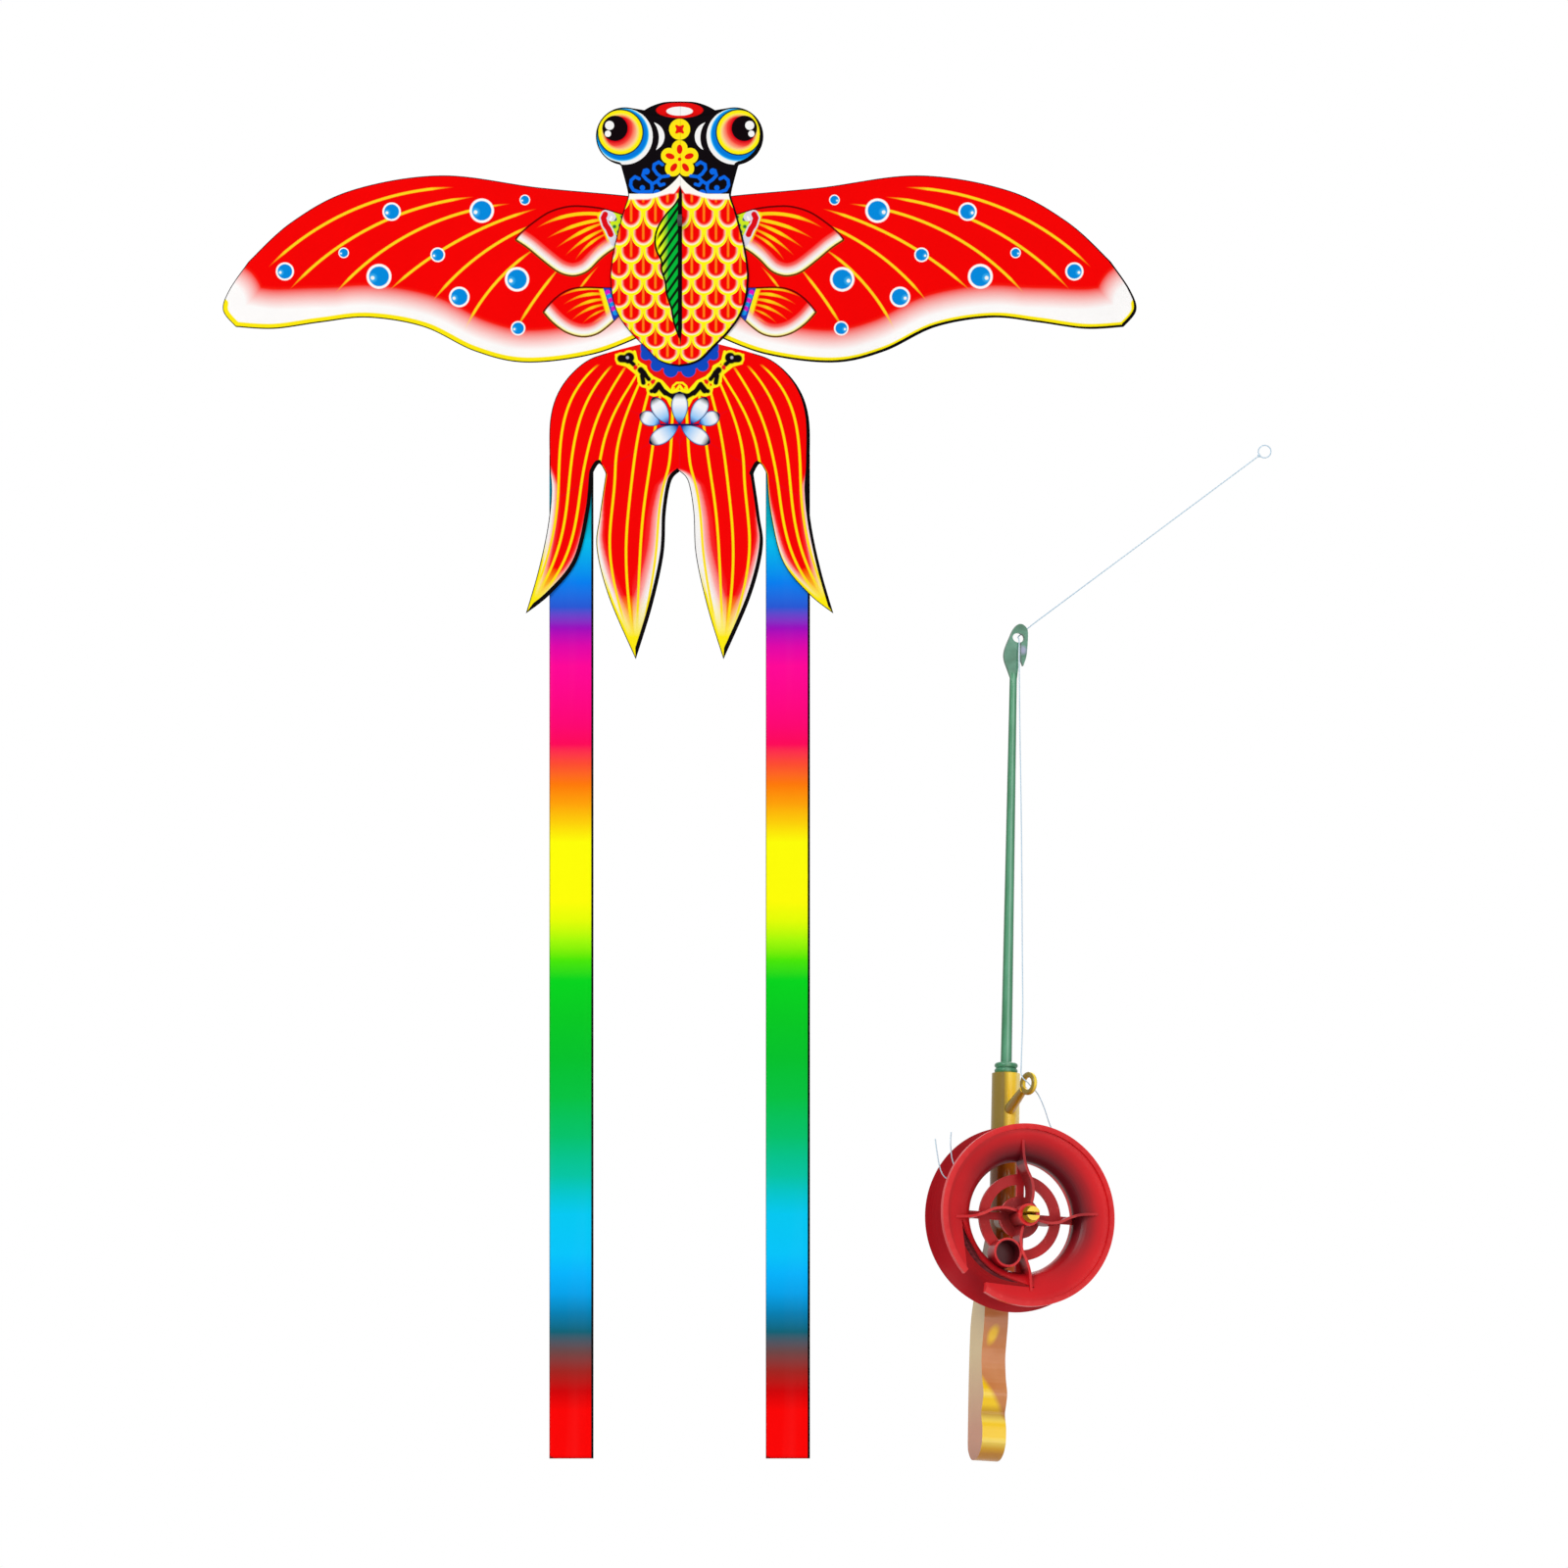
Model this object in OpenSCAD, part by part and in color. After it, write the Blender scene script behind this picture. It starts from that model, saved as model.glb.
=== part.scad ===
// Goldfish kite with two streamers, and the rod winder that flies it.
// The origin is the centre of the tow eye. +Z is up, -Y is the printed side.

/* [Cloth] */
// Thickness of the cloth panels
cloth = 0.3; // [0.2:0.05:0.5]
// Front face of the body panel behind the tow eye's centre
panel_front = 2.6; // [2.5:0.1:4]

/* [Wings] */
// Span from wing tip to wing tip
wing_span = 373; // [340:1:420]
// Height of the wing's crest above the tow eye
wing_crest = 18.4; // [16:0.2:22]
// Height of a wing from its crest to its lowest edge
wing_chord = 76.4; // [66:0.2:86]
// Distance from the middle to the hidden root of a wing
wing_root = 12; // [10:0.5:16]

/* [Body] */
// Widest half width of the scaled body
body_half = 28.2; // [26:0.2:32]
// Height of the neck above the tow eye
neck_top = 24; // [22:0.5:28]
// Half width of the neck
neck_half = 21.2; // [20:0.2:23]
// Length of the body below the tow eye
body_drop = 59.6; // [56:0.2:64]
// Radius of an eye disc
eye_r = 11.8; // [10:0.1:13]
// Distance of an eye's centre from the middle
eye_out = 22.4; // [21:0.2:25]
// Height of the eyes' centres above the tow eye
eye_up = 34.4; // [32:0.2:38]
// Height of the crown above the tow eye
crown_top = 48.6; // [46.6:0.2:52]

/* [Tail fin] */
// Height of the tail fin's hidden top edge, below the tow eye
tail_top = 46; // [40:1:50]
// Length of the tail fin from its top to its lowest tips
tail_length = 133.2; // [120:0.2:150]
// Distance between the outer lobes' tips
tail_width = 125.6; // [115:0.2:140]

/* [Streamers] */
// Width of a streamer
streamer_w = 18; // [10:0.5:20]
// Length of a streamer below its tape
streamer_l = 404; // [200:1:600]
// Distance of a streamer's centre line from the middle
streamer_out = 44.2; // [42:0.2:46]
// Height of the tape that holds a streamer
tape_h = 6; // [4:0.5:10]
// Depth of the fold line below the tail fin's top edge
tape_drop = 56; // [54:0.5:60]
// Gap at the fold between tape and streamer
fold_gap = 0.3; // [0.2:0.1:0.5]

/* [Rods] */
// Diameter of the spine rod
spine_d = 2; // [1.6:0.1:2.4]
// Diameter of the wing spars
spar_d = 1.6; // [1.2:0.1:2]
// Diameter of the tail spreader
spreader_d = 1.6; // [1.2:0.1:2]
// Clearance around a rod in its pocket or socket
rod_fit = 0.05; // [0.02:0.01:0.1]
// Clearance between a rod and the cloth behind which it lies
rod_gap = 0.3; // [0.3:0.05:0.6]
// Height of the wing spars' straight ends above the tow eye
spar_up = 7.5; // [6.5:0.25:8.5]
// Distance of a wing spar from the wing's top edge
hem = 2.2; // [1.9:0.1:3]
// Wall of the sewn sleeve
sleeve_wall = 0.3; // [0.2:0.05:0.4]
// Distance from the middle at which a sleeve starts
sleeve_start = 30; // [26:1:40]
// Height of the tail spreader below the tow eye
spreader_drop = 78; // [76:0.5:82]
// Half length of the tail spreader
spreader_half = 48; // [44:0.5:49]

/* [Fittings] */
// Outer radius of the tow eye
tow_eye_r = 2.4; // [2.1:0.1:2.5]
// Radius of the hole in the tow eye
tow_hole_r = 1.2; // [0.8:0.1:1.5]
// Thickness of the tow eye
tow_eye_w = 1.8; // [1.4:0.1:2.4]
// Half width of the connector's body
connector_half = 4; // [3.5:0.25:5]
// Length of a connector's socket beyond its body
socket_l = 5; // [4:0.5:7]
// Wall of the fittings around a rod
fitting_wall = 1; // [0.8:0.1:1.4]
// Depth that a rod's end goes into a pocket
pocket_depth = 8; // [6:0.5:10]
// Wall of the pockets around a rod
pocket_wall = 0.5; // [0.4:0.05:0.8]

/* [Winder] */
// Distance of the winder's axis to the right of the tow eye
winder_out = 132.1; // [125:0.1:180]
// Depth of the reel's axle below the tow eye
winder_drop = 409.2; // [380:0.2:450]
// Turn of the winder about its own axis
winder_yaw = 20; // [0:1:30]
// Backward tilt of the winder
winder_tilt = 9; // [0:0.5:12]
// Sideways lean of the winder
winder_lean = 1.2; // [0:0.1:3]

/* [Handle] */
// Outer radius of the handle's tube
tube_r = 5.8; // [5.4:0.1:7]
// Height of the tube's mouth above the axle
tube_top = 61.4; // [59:0.2:70]
// Depth of the rod's socket
socket_depth = 20; // [14:1:26]
// Width of the grip
grip_w = 10.4; // [9:0.2:13]
// Depth of the grip's lowest point below the axle
grip_drop = 96; // [90:0.5:110]
// Height of the line guide's centre above the axle
guide_up = 54.8; // [54:0.2:56]
// Distance of the line guide in front of the tube's axis
guide_front = 22; // [21:0.2:23]
// Radius of the line guide's ring to the middle of its wire
guide_r = 3.6; // [3.2:0.1:3.8]
// Radius of the line guide's wire
guide_wire = 1.2; // [0.9:0.1:1.3]
// Radius of the axle
axle_r = 2.85; // [2.4:0.05:3]
// Running clearance around the axle
axle_fit = 0.08; // [0.05:0.01:0.1]
// Width of the slit in the axle's snap end
snap_slit = 1.4; // [1:0.1:1.8]
// How far the snap end's lips stand out of the axle
snap_lip = 0.7; // [0.5:0.05:0.9]
// Length of the snap end in front of the hub
snap_l = 4.6; // [3.6:0.1:6]

/* [Reel] */
// Outer radius of the flanges
reel_r = 37.4; // [34:0.2:40]
// Radius of the drum, inside the winding
drum_r = 24.2; // [23.2:0.2:25.2]
// Distance of the rear flange's rim in front of the tube's axis
reel_back = 8.5; // [8:0.1:10]
// Distance between the rims of the two flanges
reel_w = 21; // [20:0.5:24]
// Wall of the flanges and of the drum
reel_wall = 1.5; // [1.2:0.1:1.8]
// Thickness of the slotted web
web_t = 1.6; // [1.2:0.1:2]
// Radius of the hub disc in the web
hub_disc_r = 8.6; // [7.6:0.2:9.6]
// Inner radius of the web's ring
ring_in = 13.4; // [12.4:0.2:14]
// Outer radius of the web's ring
ring_out = 17.7; // [16.7:0.1:18.7]
// Width of the web's ribs
rib_w = 3; // [2:0.2:4]
// Outer radius of the hub
hub_r = 4.6; // [4.2:0.1:5.2]
// Thickness of an S-shaped spoke
spoke_t = 1.1; // [0.8:0.1:1.6]
// Outer radius of the knob boss
boss_r = 6; // [5.4:0.1:6.4]
// Wall of the knob boss
boss_wall = 1; // [0.8:0.1:1.2]
// Distance of the knob boss from the axle
boss_out = 17.6; // [17:0.1:18]
// Direction of the knob boss, clockwise from straight down
boss_turn = 27; // [20:1:34]
// Thickness of the line wound on the drum
pack_h = 2.4; // [1.5:0.1:3]

/* [Rod] */
// Radius of the rod at its foot
rod_foot_r = 2.45; // [2.2:0.05:2.6]
// Radius of the rod at its neck
rod_neck_r = 1.5; // [1.2:0.05:1.8]
// Height of the rod's neck above the axle
rod_neck = 226.4; // [226:0.1:227]
// Thickness of the leaf-shaped tip
leaf_t = 1.6; // [1.2:0.1:2.2]
// Radius of the rod's spigot in the socket
spigot_r = 2.7; // [2.6:0.05:3]
// Outer radius of the collar
collar_r = 4.8; // [4.2:0.1:5.4]
// Height of the collar
collar_h = 4.4; // [3.4:0.1:5.4]

/* [Line] */
// Diameter of the flying line
line_d = 0.5; // [0.4:0.05:0.6]
// Radius of the loop at the line's end
loop_r = 2.6; // [2:0.1:4]

/* [Hidden] */
$fn = 64;
// A hair's breadth by which cutting tools pass a face
eps = 0.01;
// Sides of the swept rods and lines
rod_sides = 12;
line_sides = 8;

// Layers, from the printed side to the back
panel_back = panel_front + cloth;
wing_back = panel_back + cloth;
spar_r = spar_d / 2;
spine_r = spine_d / 2;
spreader_r = spreader_d / 2;
sleeve_r = spar_r + rod_fit + sleeve_wall;
rod_y = wing_back + rod_gap + max(spine_r, spar_r + rod_fit + sleeve_wall - rod_gap);
spreader_y = rod_y + spine_r + spreader_r + 2 * rod_fit;

// Points of the outlines: the right half of each, as shares of its own sizes.
// Wing: along the half span from the root, and down the chord from the crest.
WING_TOP = [[0, 0.14], [0.05, 0.11], [0.26, 0.065], [0.49, 0], [0.70, 0.08], [0.84, 0.25], [0.94, 0.46]];
WING_TIP = [[0.94, 0.46], [0.985, 0.61], [1, 0.72], [0.97, 0.81]];
WING_LOW = [
    [0.97, 0.81], [0.88, 0.82], [0.77, 0.785], [0.66, 0.76], [0.53, 0.81],
    [0.41, 0.94], [0.29, 1], [0.13, 0.955], [0, 0.84]
];
// Tail fin: along the half width from the middle, and down its length.
TAIL_OUTER = [
    [0, 0], [0.43, 0.055], [0.62, 0.09], [0.77, 0.165], [0.84, 0.26],
    [0.845, 0.4], [0.835, 0.49], [0.86, 0.6], [0.92, 0.73], [1, 0.86]
];
TAIL_SLOT = [[1, 0.86], [0.84, 0.8], [0.67, 0.7], [0.59, 0.55], [0.565, 0.43]];
TAIL_SLOT_TOP = [[0.565, 0.43], [0.522, 0.4], [0.48, 0.43]];
TAIL_INNER = [[0.48, 0.43], [0.52, 0.56], [0.54, 0.66], [0.46, 0.81], [0.285, 1]];
TAIL_CROTCH = [[0.285, 1], [0.18, 0.84], [0.105, 0.68], [0.09, 0.55], [0.055, 0.455], [0, 0.424]];

// Cords: the route of the flying line in the winder's own frame
LINE_ROUTE = [
    [24, -20.3, 12.8], [21.4, -20.4, 18.5], [18.6, -20.6, 24], [15.8, -20.9, 29.5], [13.1, -21.2, 35],
    [10.6, -21.6, 40.2], [8.4, -22.1, 45.4], [5.4, -22.4, 50.8], [1.5, -22, 54.8], [-1.3, -21.3, 58],
    [-1.3, -20.7, 64], [-0.2, -18.4, 84], [0.2, -16, 104], [0.6, -13.6, 124], [1, -11.2, 144],
    [1.3, -8.9, 164], [1.5, -6.6, 184], [1.6, -4.4, 204], [1.7, -2.6, 224], [1.7, -1.9, 236],
    [1.7, -1.6, 240.2], [1.7, -0.9, 241.8], [1.8, 0.2, 242.4], [2.4, 1.4, 243], [4, 2, 244.4],
    [8, 0.6, 248.2], [18, -4.4, 256.8], [36, -13.6, 272.2], [54, -22.8, 287.6], [72, -31.9, 303],
    [90, -41, 318.4]
];
TAG_OUTER_ROUTE = [
    [-23.6, -17.9, 12.8], [-27, -17.9, 12.7], [-30.5, -17.9, 13.4], [-33.4, -17.9, 15.4], [-35, -17.9, 19],
    [-36.1, -17.9, 24], [-37.1, -17.9, 30]
];
TAG_INNER_ROUTE = [
    [-21.9, -17.9, 15.5], [-25, -17.9, 16.6], [-28, -17.9, 18.8], [-29.5, -17.9, 22], [-30.2, -17.9, 26],
    [-30.4, -17.9, 29.6], [-30.2, -17.9, 33.2]
];

// Reel, measured forward from the tube's axis
reel_front_y = reel_back + reel_w;
web_back = reel_back + 0.43 * reel_w;
split_y = web_back + web_t;
hub_gap = 0.3;
barb_y = reel_front_y + hub_gap;
boss_x = -boss_out * sin(boss_turn);
boss_z = -boss_out * cos(boss_turn);
// Middle line of a spoke: distance from the axle and offset to its left
spoke_turn = 4;
SPOKE = [[0, 0], [4, -1.8], [9, -3.2], [14, -2.9], [19, -1], [24, 0.1], [31, 0.2]];
// Corners of the notch in the front flange, seen from the front
NOTCH = [
    [-28, -3], [-27, -12], [-26, -24], [-32, -31], [-19, -37], [-17.5, -28.6],
    [4.5, -29.4], [-9.6, -24.8], [-14, -22.4], [-18.2, -18.8]
];

// A point of a smooth curve between b and c, with a and d as the neighbours
function curve_point(a, b, c, d, t) =
    (2 * b + (c - a) * t + (2 * a - 5 * b + 4 * c - d) * t * t + (3 * b - a - 3 * c + d) * t * t * t) / 2;

// Smooth curve through points, with a number of steps between each two
function curve(pts, steps) = [
    for (i = [0 : len(pts) - 2], k = [0 : steps - 1])
        curve_point(pts[max(i - 1, 0)], pts[i], pts[i + 1], pts[min(i + 2, len(pts) - 1)], k / steps),
    pts[len(pts) - 1]
];

// All but the last point
function open_end(pts) = [for (i = [0 : len(pts) - 2]) pts[i]];

// Direction of a path at one of its points
function heading(path, i) =
    let (d = path[min(i + 1, len(path) - 1)] - path[max(i - 1, 0)]) d / norm(d);

// A right half outline, from the top to the bottom, closed by its mirror image
function both_halves(half) = concat(
    half,
    [for (i = [len(half) - 2 : -1 : 1]) [-half[i][0], half[i][1]]]
);

// A path moved to its right-hand side by a distance
function inset(path, distance) = [
    for (i = [0 : len(path) - 1])
        let (d = heading(path, i)) path[i] + distance * [d[1], -d[0]]
];

// Wing outline in millimetres
function wing_mm(pts) = [
    for (p = pts) [wing_root + p[0] * (wing_span / 2 - wing_root), wing_crest - p[1] * wing_chord]
];

// Tail outline in millimetres
function tail_mm(pts) = [for (p = pts) [p[0] * tail_width / 2, -tail_top - p[1] * tail_length]];

// Route of a wing spar: straight into its socket, then along the top edge
spar_inner_x = spine_r + rod_fit + 0.6;
spar_turn_x = sleeve_start - 10;
wing_edge = inset(curve(wing_mm(WING_TOP), 7), hem);
spar_curve = [for (p = wing_edge) if (p[0] > sleeve_start - 4) p];
spar_route = concat(
    [[spar_inner_x, spar_up], [connector_half + socket_l + 1, spar_up]],
    [[spar_turn_x, (spar_up + spar_curve[0][1]) / 2]],
    spar_curve
);
spar_path = [for (p = spar_route) [p[0], rod_y, p[1]]];
spar_end = spar_path[len(spar_path) - 1];
spar_end_dir = heading(spar_path, len(spar_path) - 1);
sleeve_path = [for (p = spar_path) if (p[0] > sleeve_start && p[0] < spar_end[0] - pocket_depth) p];

// Rings of points around a path; side is a direction that the path never takes
function rings(path, r, sides, side) = [
    for (i = [0 : len(path) - 1])
        let (d = heading(path, i), u = cross(side, d) / norm(cross(side, d)), v = cross(d, u))
            for (k = [0 : sides - 1])
                path[i] + r * (cos(360 * k / sides) * u + sin(360 * k / sides) * v)
];

// Side faces between the rings, outward, or inward for a bore
function side_faces(n, sides, first, inward) = [
    for (i = [0 : n - 2], k = [0 : sides - 1])
        let (
            a = first + i * sides + k,
            b = first + i * sides + (k + 1) % sides,
            f = [a, a + sides, b + sides, b]
        ) inward ? [f[3], f[2], f[1], f[0]] : f
];

// Solid rod along a path
module rod_along(path, r, sides, side = [0, 1, 0]) {
    n = len(path);
    polyhedron(
        points = rings(path, r, sides, side),
        faces = concat(
            [[for (k = [0 : sides - 1]) k]],
            [[for (k = [sides - 1 : -1 : 0]) (n - 1) * sides + k]],
            side_faces(n, sides, 0, false)
        )
    );
}

// Hollow sleeve along a path
module sleeve_along(path, outer, inner, sides, side = [0, 1, 0]) {
    n = len(path);
    bore = n * sides;
    last = (n - 1) * sides;
    polyhedron(
        points = concat(rings(path, outer, sides, side), rings(path, inner, sides, side)),
        faces = concat(
            side_faces(n, sides, 0, false),
            side_faces(n, sides, bore, true),
            [for (k = [0 : sides - 1]) let (j = (k + 1) % sides) [k, j, bore + j, bore + k]],
            [for (k = [0 : sides - 1]) let (j = (k + 1) % sides)
                [last + j, last + k, bore + last + k, bore + last + j]]
        )
    );
}

// Round bar or cone from one point to another
module bar(from, to, r1, r2) {
    d = to - from;
    translate(from)
        rotate([0, acos(d[2] / norm(d)), atan2(d[1], d[0])])
            cylinder(h = norm(d), r1 = r1, r2 = r2);
}

// Flat sheet in the upright plane, from a depth y with a thickness
module sheet(y, thickness) {
    translate([0, y + thickness, 0])
        rotate([90, 0, 0])
            linear_extrude(thickness) children();
}

// Both of a mirrored pair, or one side: -1 for left, +1 for right
module on_side(side) {
    scale_x = side < 0 ? 1 : 0;
    mirror([scale_x, 0, 0]) children();
}

// Box given by its lowest and highest corners
module block(low, high) {
    translate(low) cube(high - low);
}

// ---------------------------------------------------------------- kite

module body_outline() {
    length = neck_top + body_drop;
    eye_arc = [for (a = [124 : -12 : -80]) [eye_out + eye_r * cos(a), eye_up + eye_r * sin(a)]];
    polygon(both_halves(concat(
        open_end(curve([
            [0, crown_top], [0.28 * eye_out, crown_top - 0.3], [0.52 * eye_out, crown_top - 2], eye_arc[0]
        ], 4)),
        eye_arc,
        curve([
            [1.13 * neck_half, neck_top - 0.02 * length], [1.075 * neck_half, neck_top - 0.07 * length],
            [neck_half, neck_top - 0.145 * length], [neck_half, neck_top - 0.18 * length],
            [0.82 * body_half, neck_top - 0.25 * length], [0.94 * body_half, neck_top - 0.405 * length],
            [0.995 * body_half, neck_top - 0.52 * length],
            [body_half, -0.415 * body_drop], [0.965 * body_half, -0.55 * body_drop],
            [0.865 * body_half, -0.67 * body_drop], [0.69 * body_half, -0.78 * body_drop],
            [0.5 * body_half, -0.87 * body_drop], [0.33 * body_half, -0.95 * body_drop],
            [0.18 * body_half, -0.985 * body_drop], [0, -body_drop]
        ], 4)
    )));
}

module body_panel() {
    color("red") difference() {
        sheet(panel_front, cloth) body_outline();
        // Slit for the tow eye's stem
        block(
            [-tow_eye_w / 2 - 0.3, panel_front - eps, -tow_eye_r],
            [tow_eye_w / 2 + 0.3, panel_back + eps, tow_eye_r]
        );
    }
}

module wing_panel(side) {
    outline = concat(
        open_end(curve(wing_mm(WING_TOP), 5)),
        open_end(curve(wing_mm(WING_TIP), 5)),
        curve(wing_mm(WING_LOW), 4)
    );
    color("red") on_side(side) sheet(panel_back, cloth) polygon(outline);
}

module wing_panel_left() {
    wing_panel(-1);
}

module wing_panel_right() {
    wing_panel(1);
}

module tail_fin_panel() {
    half = concat(
        open_end(curve(tail_mm(TAIL_OUTER), 4)),
        open_end(curve(tail_mm(TAIL_SLOT), 4)),
        open_end(curve(tail_mm(TAIL_SLOT_TOP), 3)),
        open_end(curve(tail_mm(TAIL_INNER), 4)),
        curve(tail_mm(TAIL_CROTCH), 4)
    );
    color("orangered") sheet(panel_back, cloth) polygon(both_halves(half));
}

spine_top = crown_top - 3;
spine_bottom = -tail_top - 0.424 * tail_length + 5;

module spine_rod() {
    color("ivory")
        translate([0, rod_y, spine_bottom]) cylinder(h = spine_top - spine_bottom, r = spine_r);
}

module wing_spar(side) {
    color("ivory") on_side(side) rod_along(spar_path, spar_r, rod_sides);
}

module wing_spar_left() {
    wing_spar(-1);
}

module wing_spar_right() {
    wing_spar(1);
}

module tail_spreader() {
    color("ivory")
        translate([-spreader_half, spreader_y, -spreader_drop])
            rotate([0, 90, 0]) cylinder(h = 2 * spreader_half, r = spreader_r);
}

module spine_bore(from_z, to_z) {
    translate([0, rod_y, from_z]) cylinder(h = to_z - from_z, r = spine_r + rod_fit);
}

module spar_connector() {
    socket_r = spar_r + rod_fit;
    half_y = max(spine_r, socket_r) + fitting_wall;
    top = spar_up + socket_r + fitting_wall + 2;
    color([0.12, 0.12, 0.12]) difference() {
        union() {
            block([-connector_half, panel_back, -tow_eye_r], [connector_half, rod_y + half_y, top]);
            // Sockets, flat where they meet the cloth
            for (side = [-1, 1]) on_side(side) intersection() {
                translate([connector_half - eps, rod_y, spar_up])
                    rotate([0, 90, 0]) cylinder(h = socket_l, r = socket_r + fitting_wall);
                block([0, panel_back, 0], [2 * (connector_half + socket_l), 2 * rod_y, 2 * spar_up]);
            }
            block([-tow_eye_w / 2, 0, -tow_eye_r + 0.4], [tow_eye_w / 2, panel_back + eps, tow_eye_r - 0.4]);
            translate([-tow_eye_w / 2, 0, 0]) rotate([0, 90, 0]) cylinder(h = tow_eye_w, r = tow_eye_r);
        }
        translate([-tow_eye_w, 0, 0]) rotate([0, 90, 0]) cylinder(h = 2 * tow_eye_w, r = tow_hole_r);
        spine_bore(-2 * tow_eye_r, top + eps);
        for (side = [-1, 1]) on_side(side)
            translate([spar_inner_x - rod_fit, rod_y, spar_up])
                rotate([0, 90, 0]) cylinder(h = connector_half + socket_l, r = socket_r);
    }
}

module tail_clip() {
    r = spreader_r + rod_fit;
    half_x = spine_r + rod_fit + fitting_wall;
    half_z = r + fitting_wall + 1.4;
    color([0.12, 0.12, 0.12]) difference() {
        block(
            [-half_x, wing_back, -spreader_drop - half_z],
            [half_x, spreader_y + r + fitting_wall, -spreader_drop + half_z]
        );
        spine_bore(-spreader_drop - 2 * half_z, -spreader_drop + 2 * half_z);
        translate([-2 * half_x, spreader_y, -spreader_drop])
            rotate([0, 90, 0]) cylinder(h = 4 * half_x, r = r);
    }
}

module wing_sleeve(side) {
    color("firebrick") on_side(side) sleeve_along(sleeve_path, sleeve_r, spar_r + rod_fit, rod_sides);
}

module wing_sleeve_left() {
    wing_sleeve(-1);
}

module wing_sleeve_right() {
    wing_sleeve(1);
}

// Pocket for one end of the spine; dir is +1 when it opens downward
module spine_pocket(end_z, front, dir) {
    r = spine_r + rod_fit;
    half_x = r + 3;
    low = dir > 0 ? end_z - pocket_depth : end_z - pocket_wall - rod_fit;
    high = dir > 0 ? end_z + pocket_wall + rod_fit : end_z + pocket_depth;
    color("darkred") difference() {
        block([-half_x, front, low], [half_x, rod_y + r + pocket_wall, high]);
        spine_bore(dir > 0 ? low - eps : end_z - rod_fit, dir > 0 ? end_z + rod_fit : high + eps);
    }
}

module head_pocket() {
    spine_pocket(spine_top, panel_back, 1);
}

module tail_pocket() {
    spine_pocket(spine_bottom, wing_back, -1);
}

// The pocket closes around the spar's end and lies in line with it
module wing_tip_pocket(side) {
    r = spar_r + rod_fit;
    half = r + pocket_wall + 0.6;
    color("darkred") on_side(side)
        translate([spar_end[0], 0, spar_end[2]])
            rotate([0, atan2(spar_end_dir[0], spar_end_dir[2]), 0])
                difference() {
                    block(
                        [-half, wing_back, -pocket_depth + 1],
                        [half, rod_y + r + pocket_wall, pocket_wall + rod_fit]
                    );
                    translate([0, rod_y, -pocket_depth]) cylinder(h = pocket_depth + rod_fit, r = r + 0.15);
                }
}

module wing_tip_pocket_left() {
    wing_tip_pocket(-1);
}

module wing_tip_pocket_right() {
    wing_tip_pocket(1);
}

module spreader_pocket(side) {
    r = spreader_r + rod_fit;
    half_z = r + 1.6;
    color("darkred") on_side(side) difference() {
        block(
            [spreader_half - pocket_depth, wing_back, -spreader_drop - half_z],
            [spreader_half + rod_fit + pocket_wall, spreader_y + r + pocket_wall, -spreader_drop + half_z]
        );
        translate([spreader_half - pocket_depth - eps, spreader_y, -spreader_drop])
            rotate([0, 90, 0]) cylinder(h = pocket_depth + eps + rod_fit, r = r);
    }
}

module spreader_pocket_left() {
    spreader_pocket(-1);
}

module spreader_pocket_right() {
    spreader_pocket(1);
}

fold_z = -tail_top - tape_drop;

module streamer_tape(side) {
    low = streamer_out - streamer_w / 2;
    color("darkred") on_side(side) block(
        [low, wing_back, fold_z + fold_gap],
        [low + streamer_w, wing_back + cloth, fold_z + fold_gap + tape_h]
    );
}

module streamer_tape_left() {
    streamer_tape(-1);
}

module streamer_tape_right() {
    streamer_tape(1);
}

module streamer(side) {
    low = streamer_out - streamer_w / 2;
    color("deepskyblue") on_side(side) block(
        [low, wing_back + cloth, fold_z - streamer_l],
        [low + streamer_w, wing_back + 2 * cloth, fold_z]
    );
}

module streamer_left() {
    streamer(-1);
}

module streamer_right() {
    streamer(1);
}

// -------------------------------------------------------------- winder

// Puts a piece of the winder in its place beside the kite
module in_winder() {
    translate([winder_out, 0, -winder_drop])
        rotate([0, winder_lean, 0])
            rotate([-winder_tilt, 0, 0])
                rotate([0, 0, winder_yaw])
                    children();
}

// Turned solid about the axle: the profile is radius and distance forward
module turned() {
    rotate([90, 0, 0]) rotate_extrude($fn = 128) children();
}

// Plate seen from the front, from one distance forward to another
module front_plate(from_y, to_y) {
    translate([0, -from_y, 0]) rotate([90, 0, 0]) linear_extrude(to_y - from_y) children();
}

grip_back = 22.4;
grip_front = 6;
GRIP = [
    [-tube_r, 0.09], [-tube_r + 1.2, 0.17], [0, 0.25], [grip_front - 1, 0.33], [grip_front, 0.42],
    [grip_front + 1.2, 0.49], [grip_front + 2.4, 0.57], [grip_front + 1.2, 0.66], [grip_front - 0.6, 0.72],
    [grip_front + 0.4, 0.77], [grip_front + 1.6, 0.81], [grip_front, 0.865], [grip_front - 0.2, 0.905]
];
GRIP_END = [[0, 0.35], [0.14, 0.75], [0.4, 1], [0.72, 0.98], [0.95, 0.6], [1, 0.2]];

module grip_outline() {
    end_top = -0.9 * grip_drop;
    polygon(concat(
        curve([for (p = GRIP) [p[0], -p[1] * grip_drop]], 4),
        curve([
            for (p = GRIP_END)
                [grip_front + p[0] * (grip_back - grip_front), end_top - p[1] * (grip_drop + end_top)]
        ], 4),
        curve([
            [grip_back + 0.2, -0.77 * grip_drop], [grip_back, -0.56 * grip_drop],
            [grip_back - 1.6, -0.375 * grip_drop], [0.58 * grip_back, -0.19 * grip_drop], [tube_r - 1, -2]
        ], 4),
        [[0, -4]]
    ));
}

guide_centre = [1.5, -guide_front, guide_up];
guide_yaw = 20;

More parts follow.
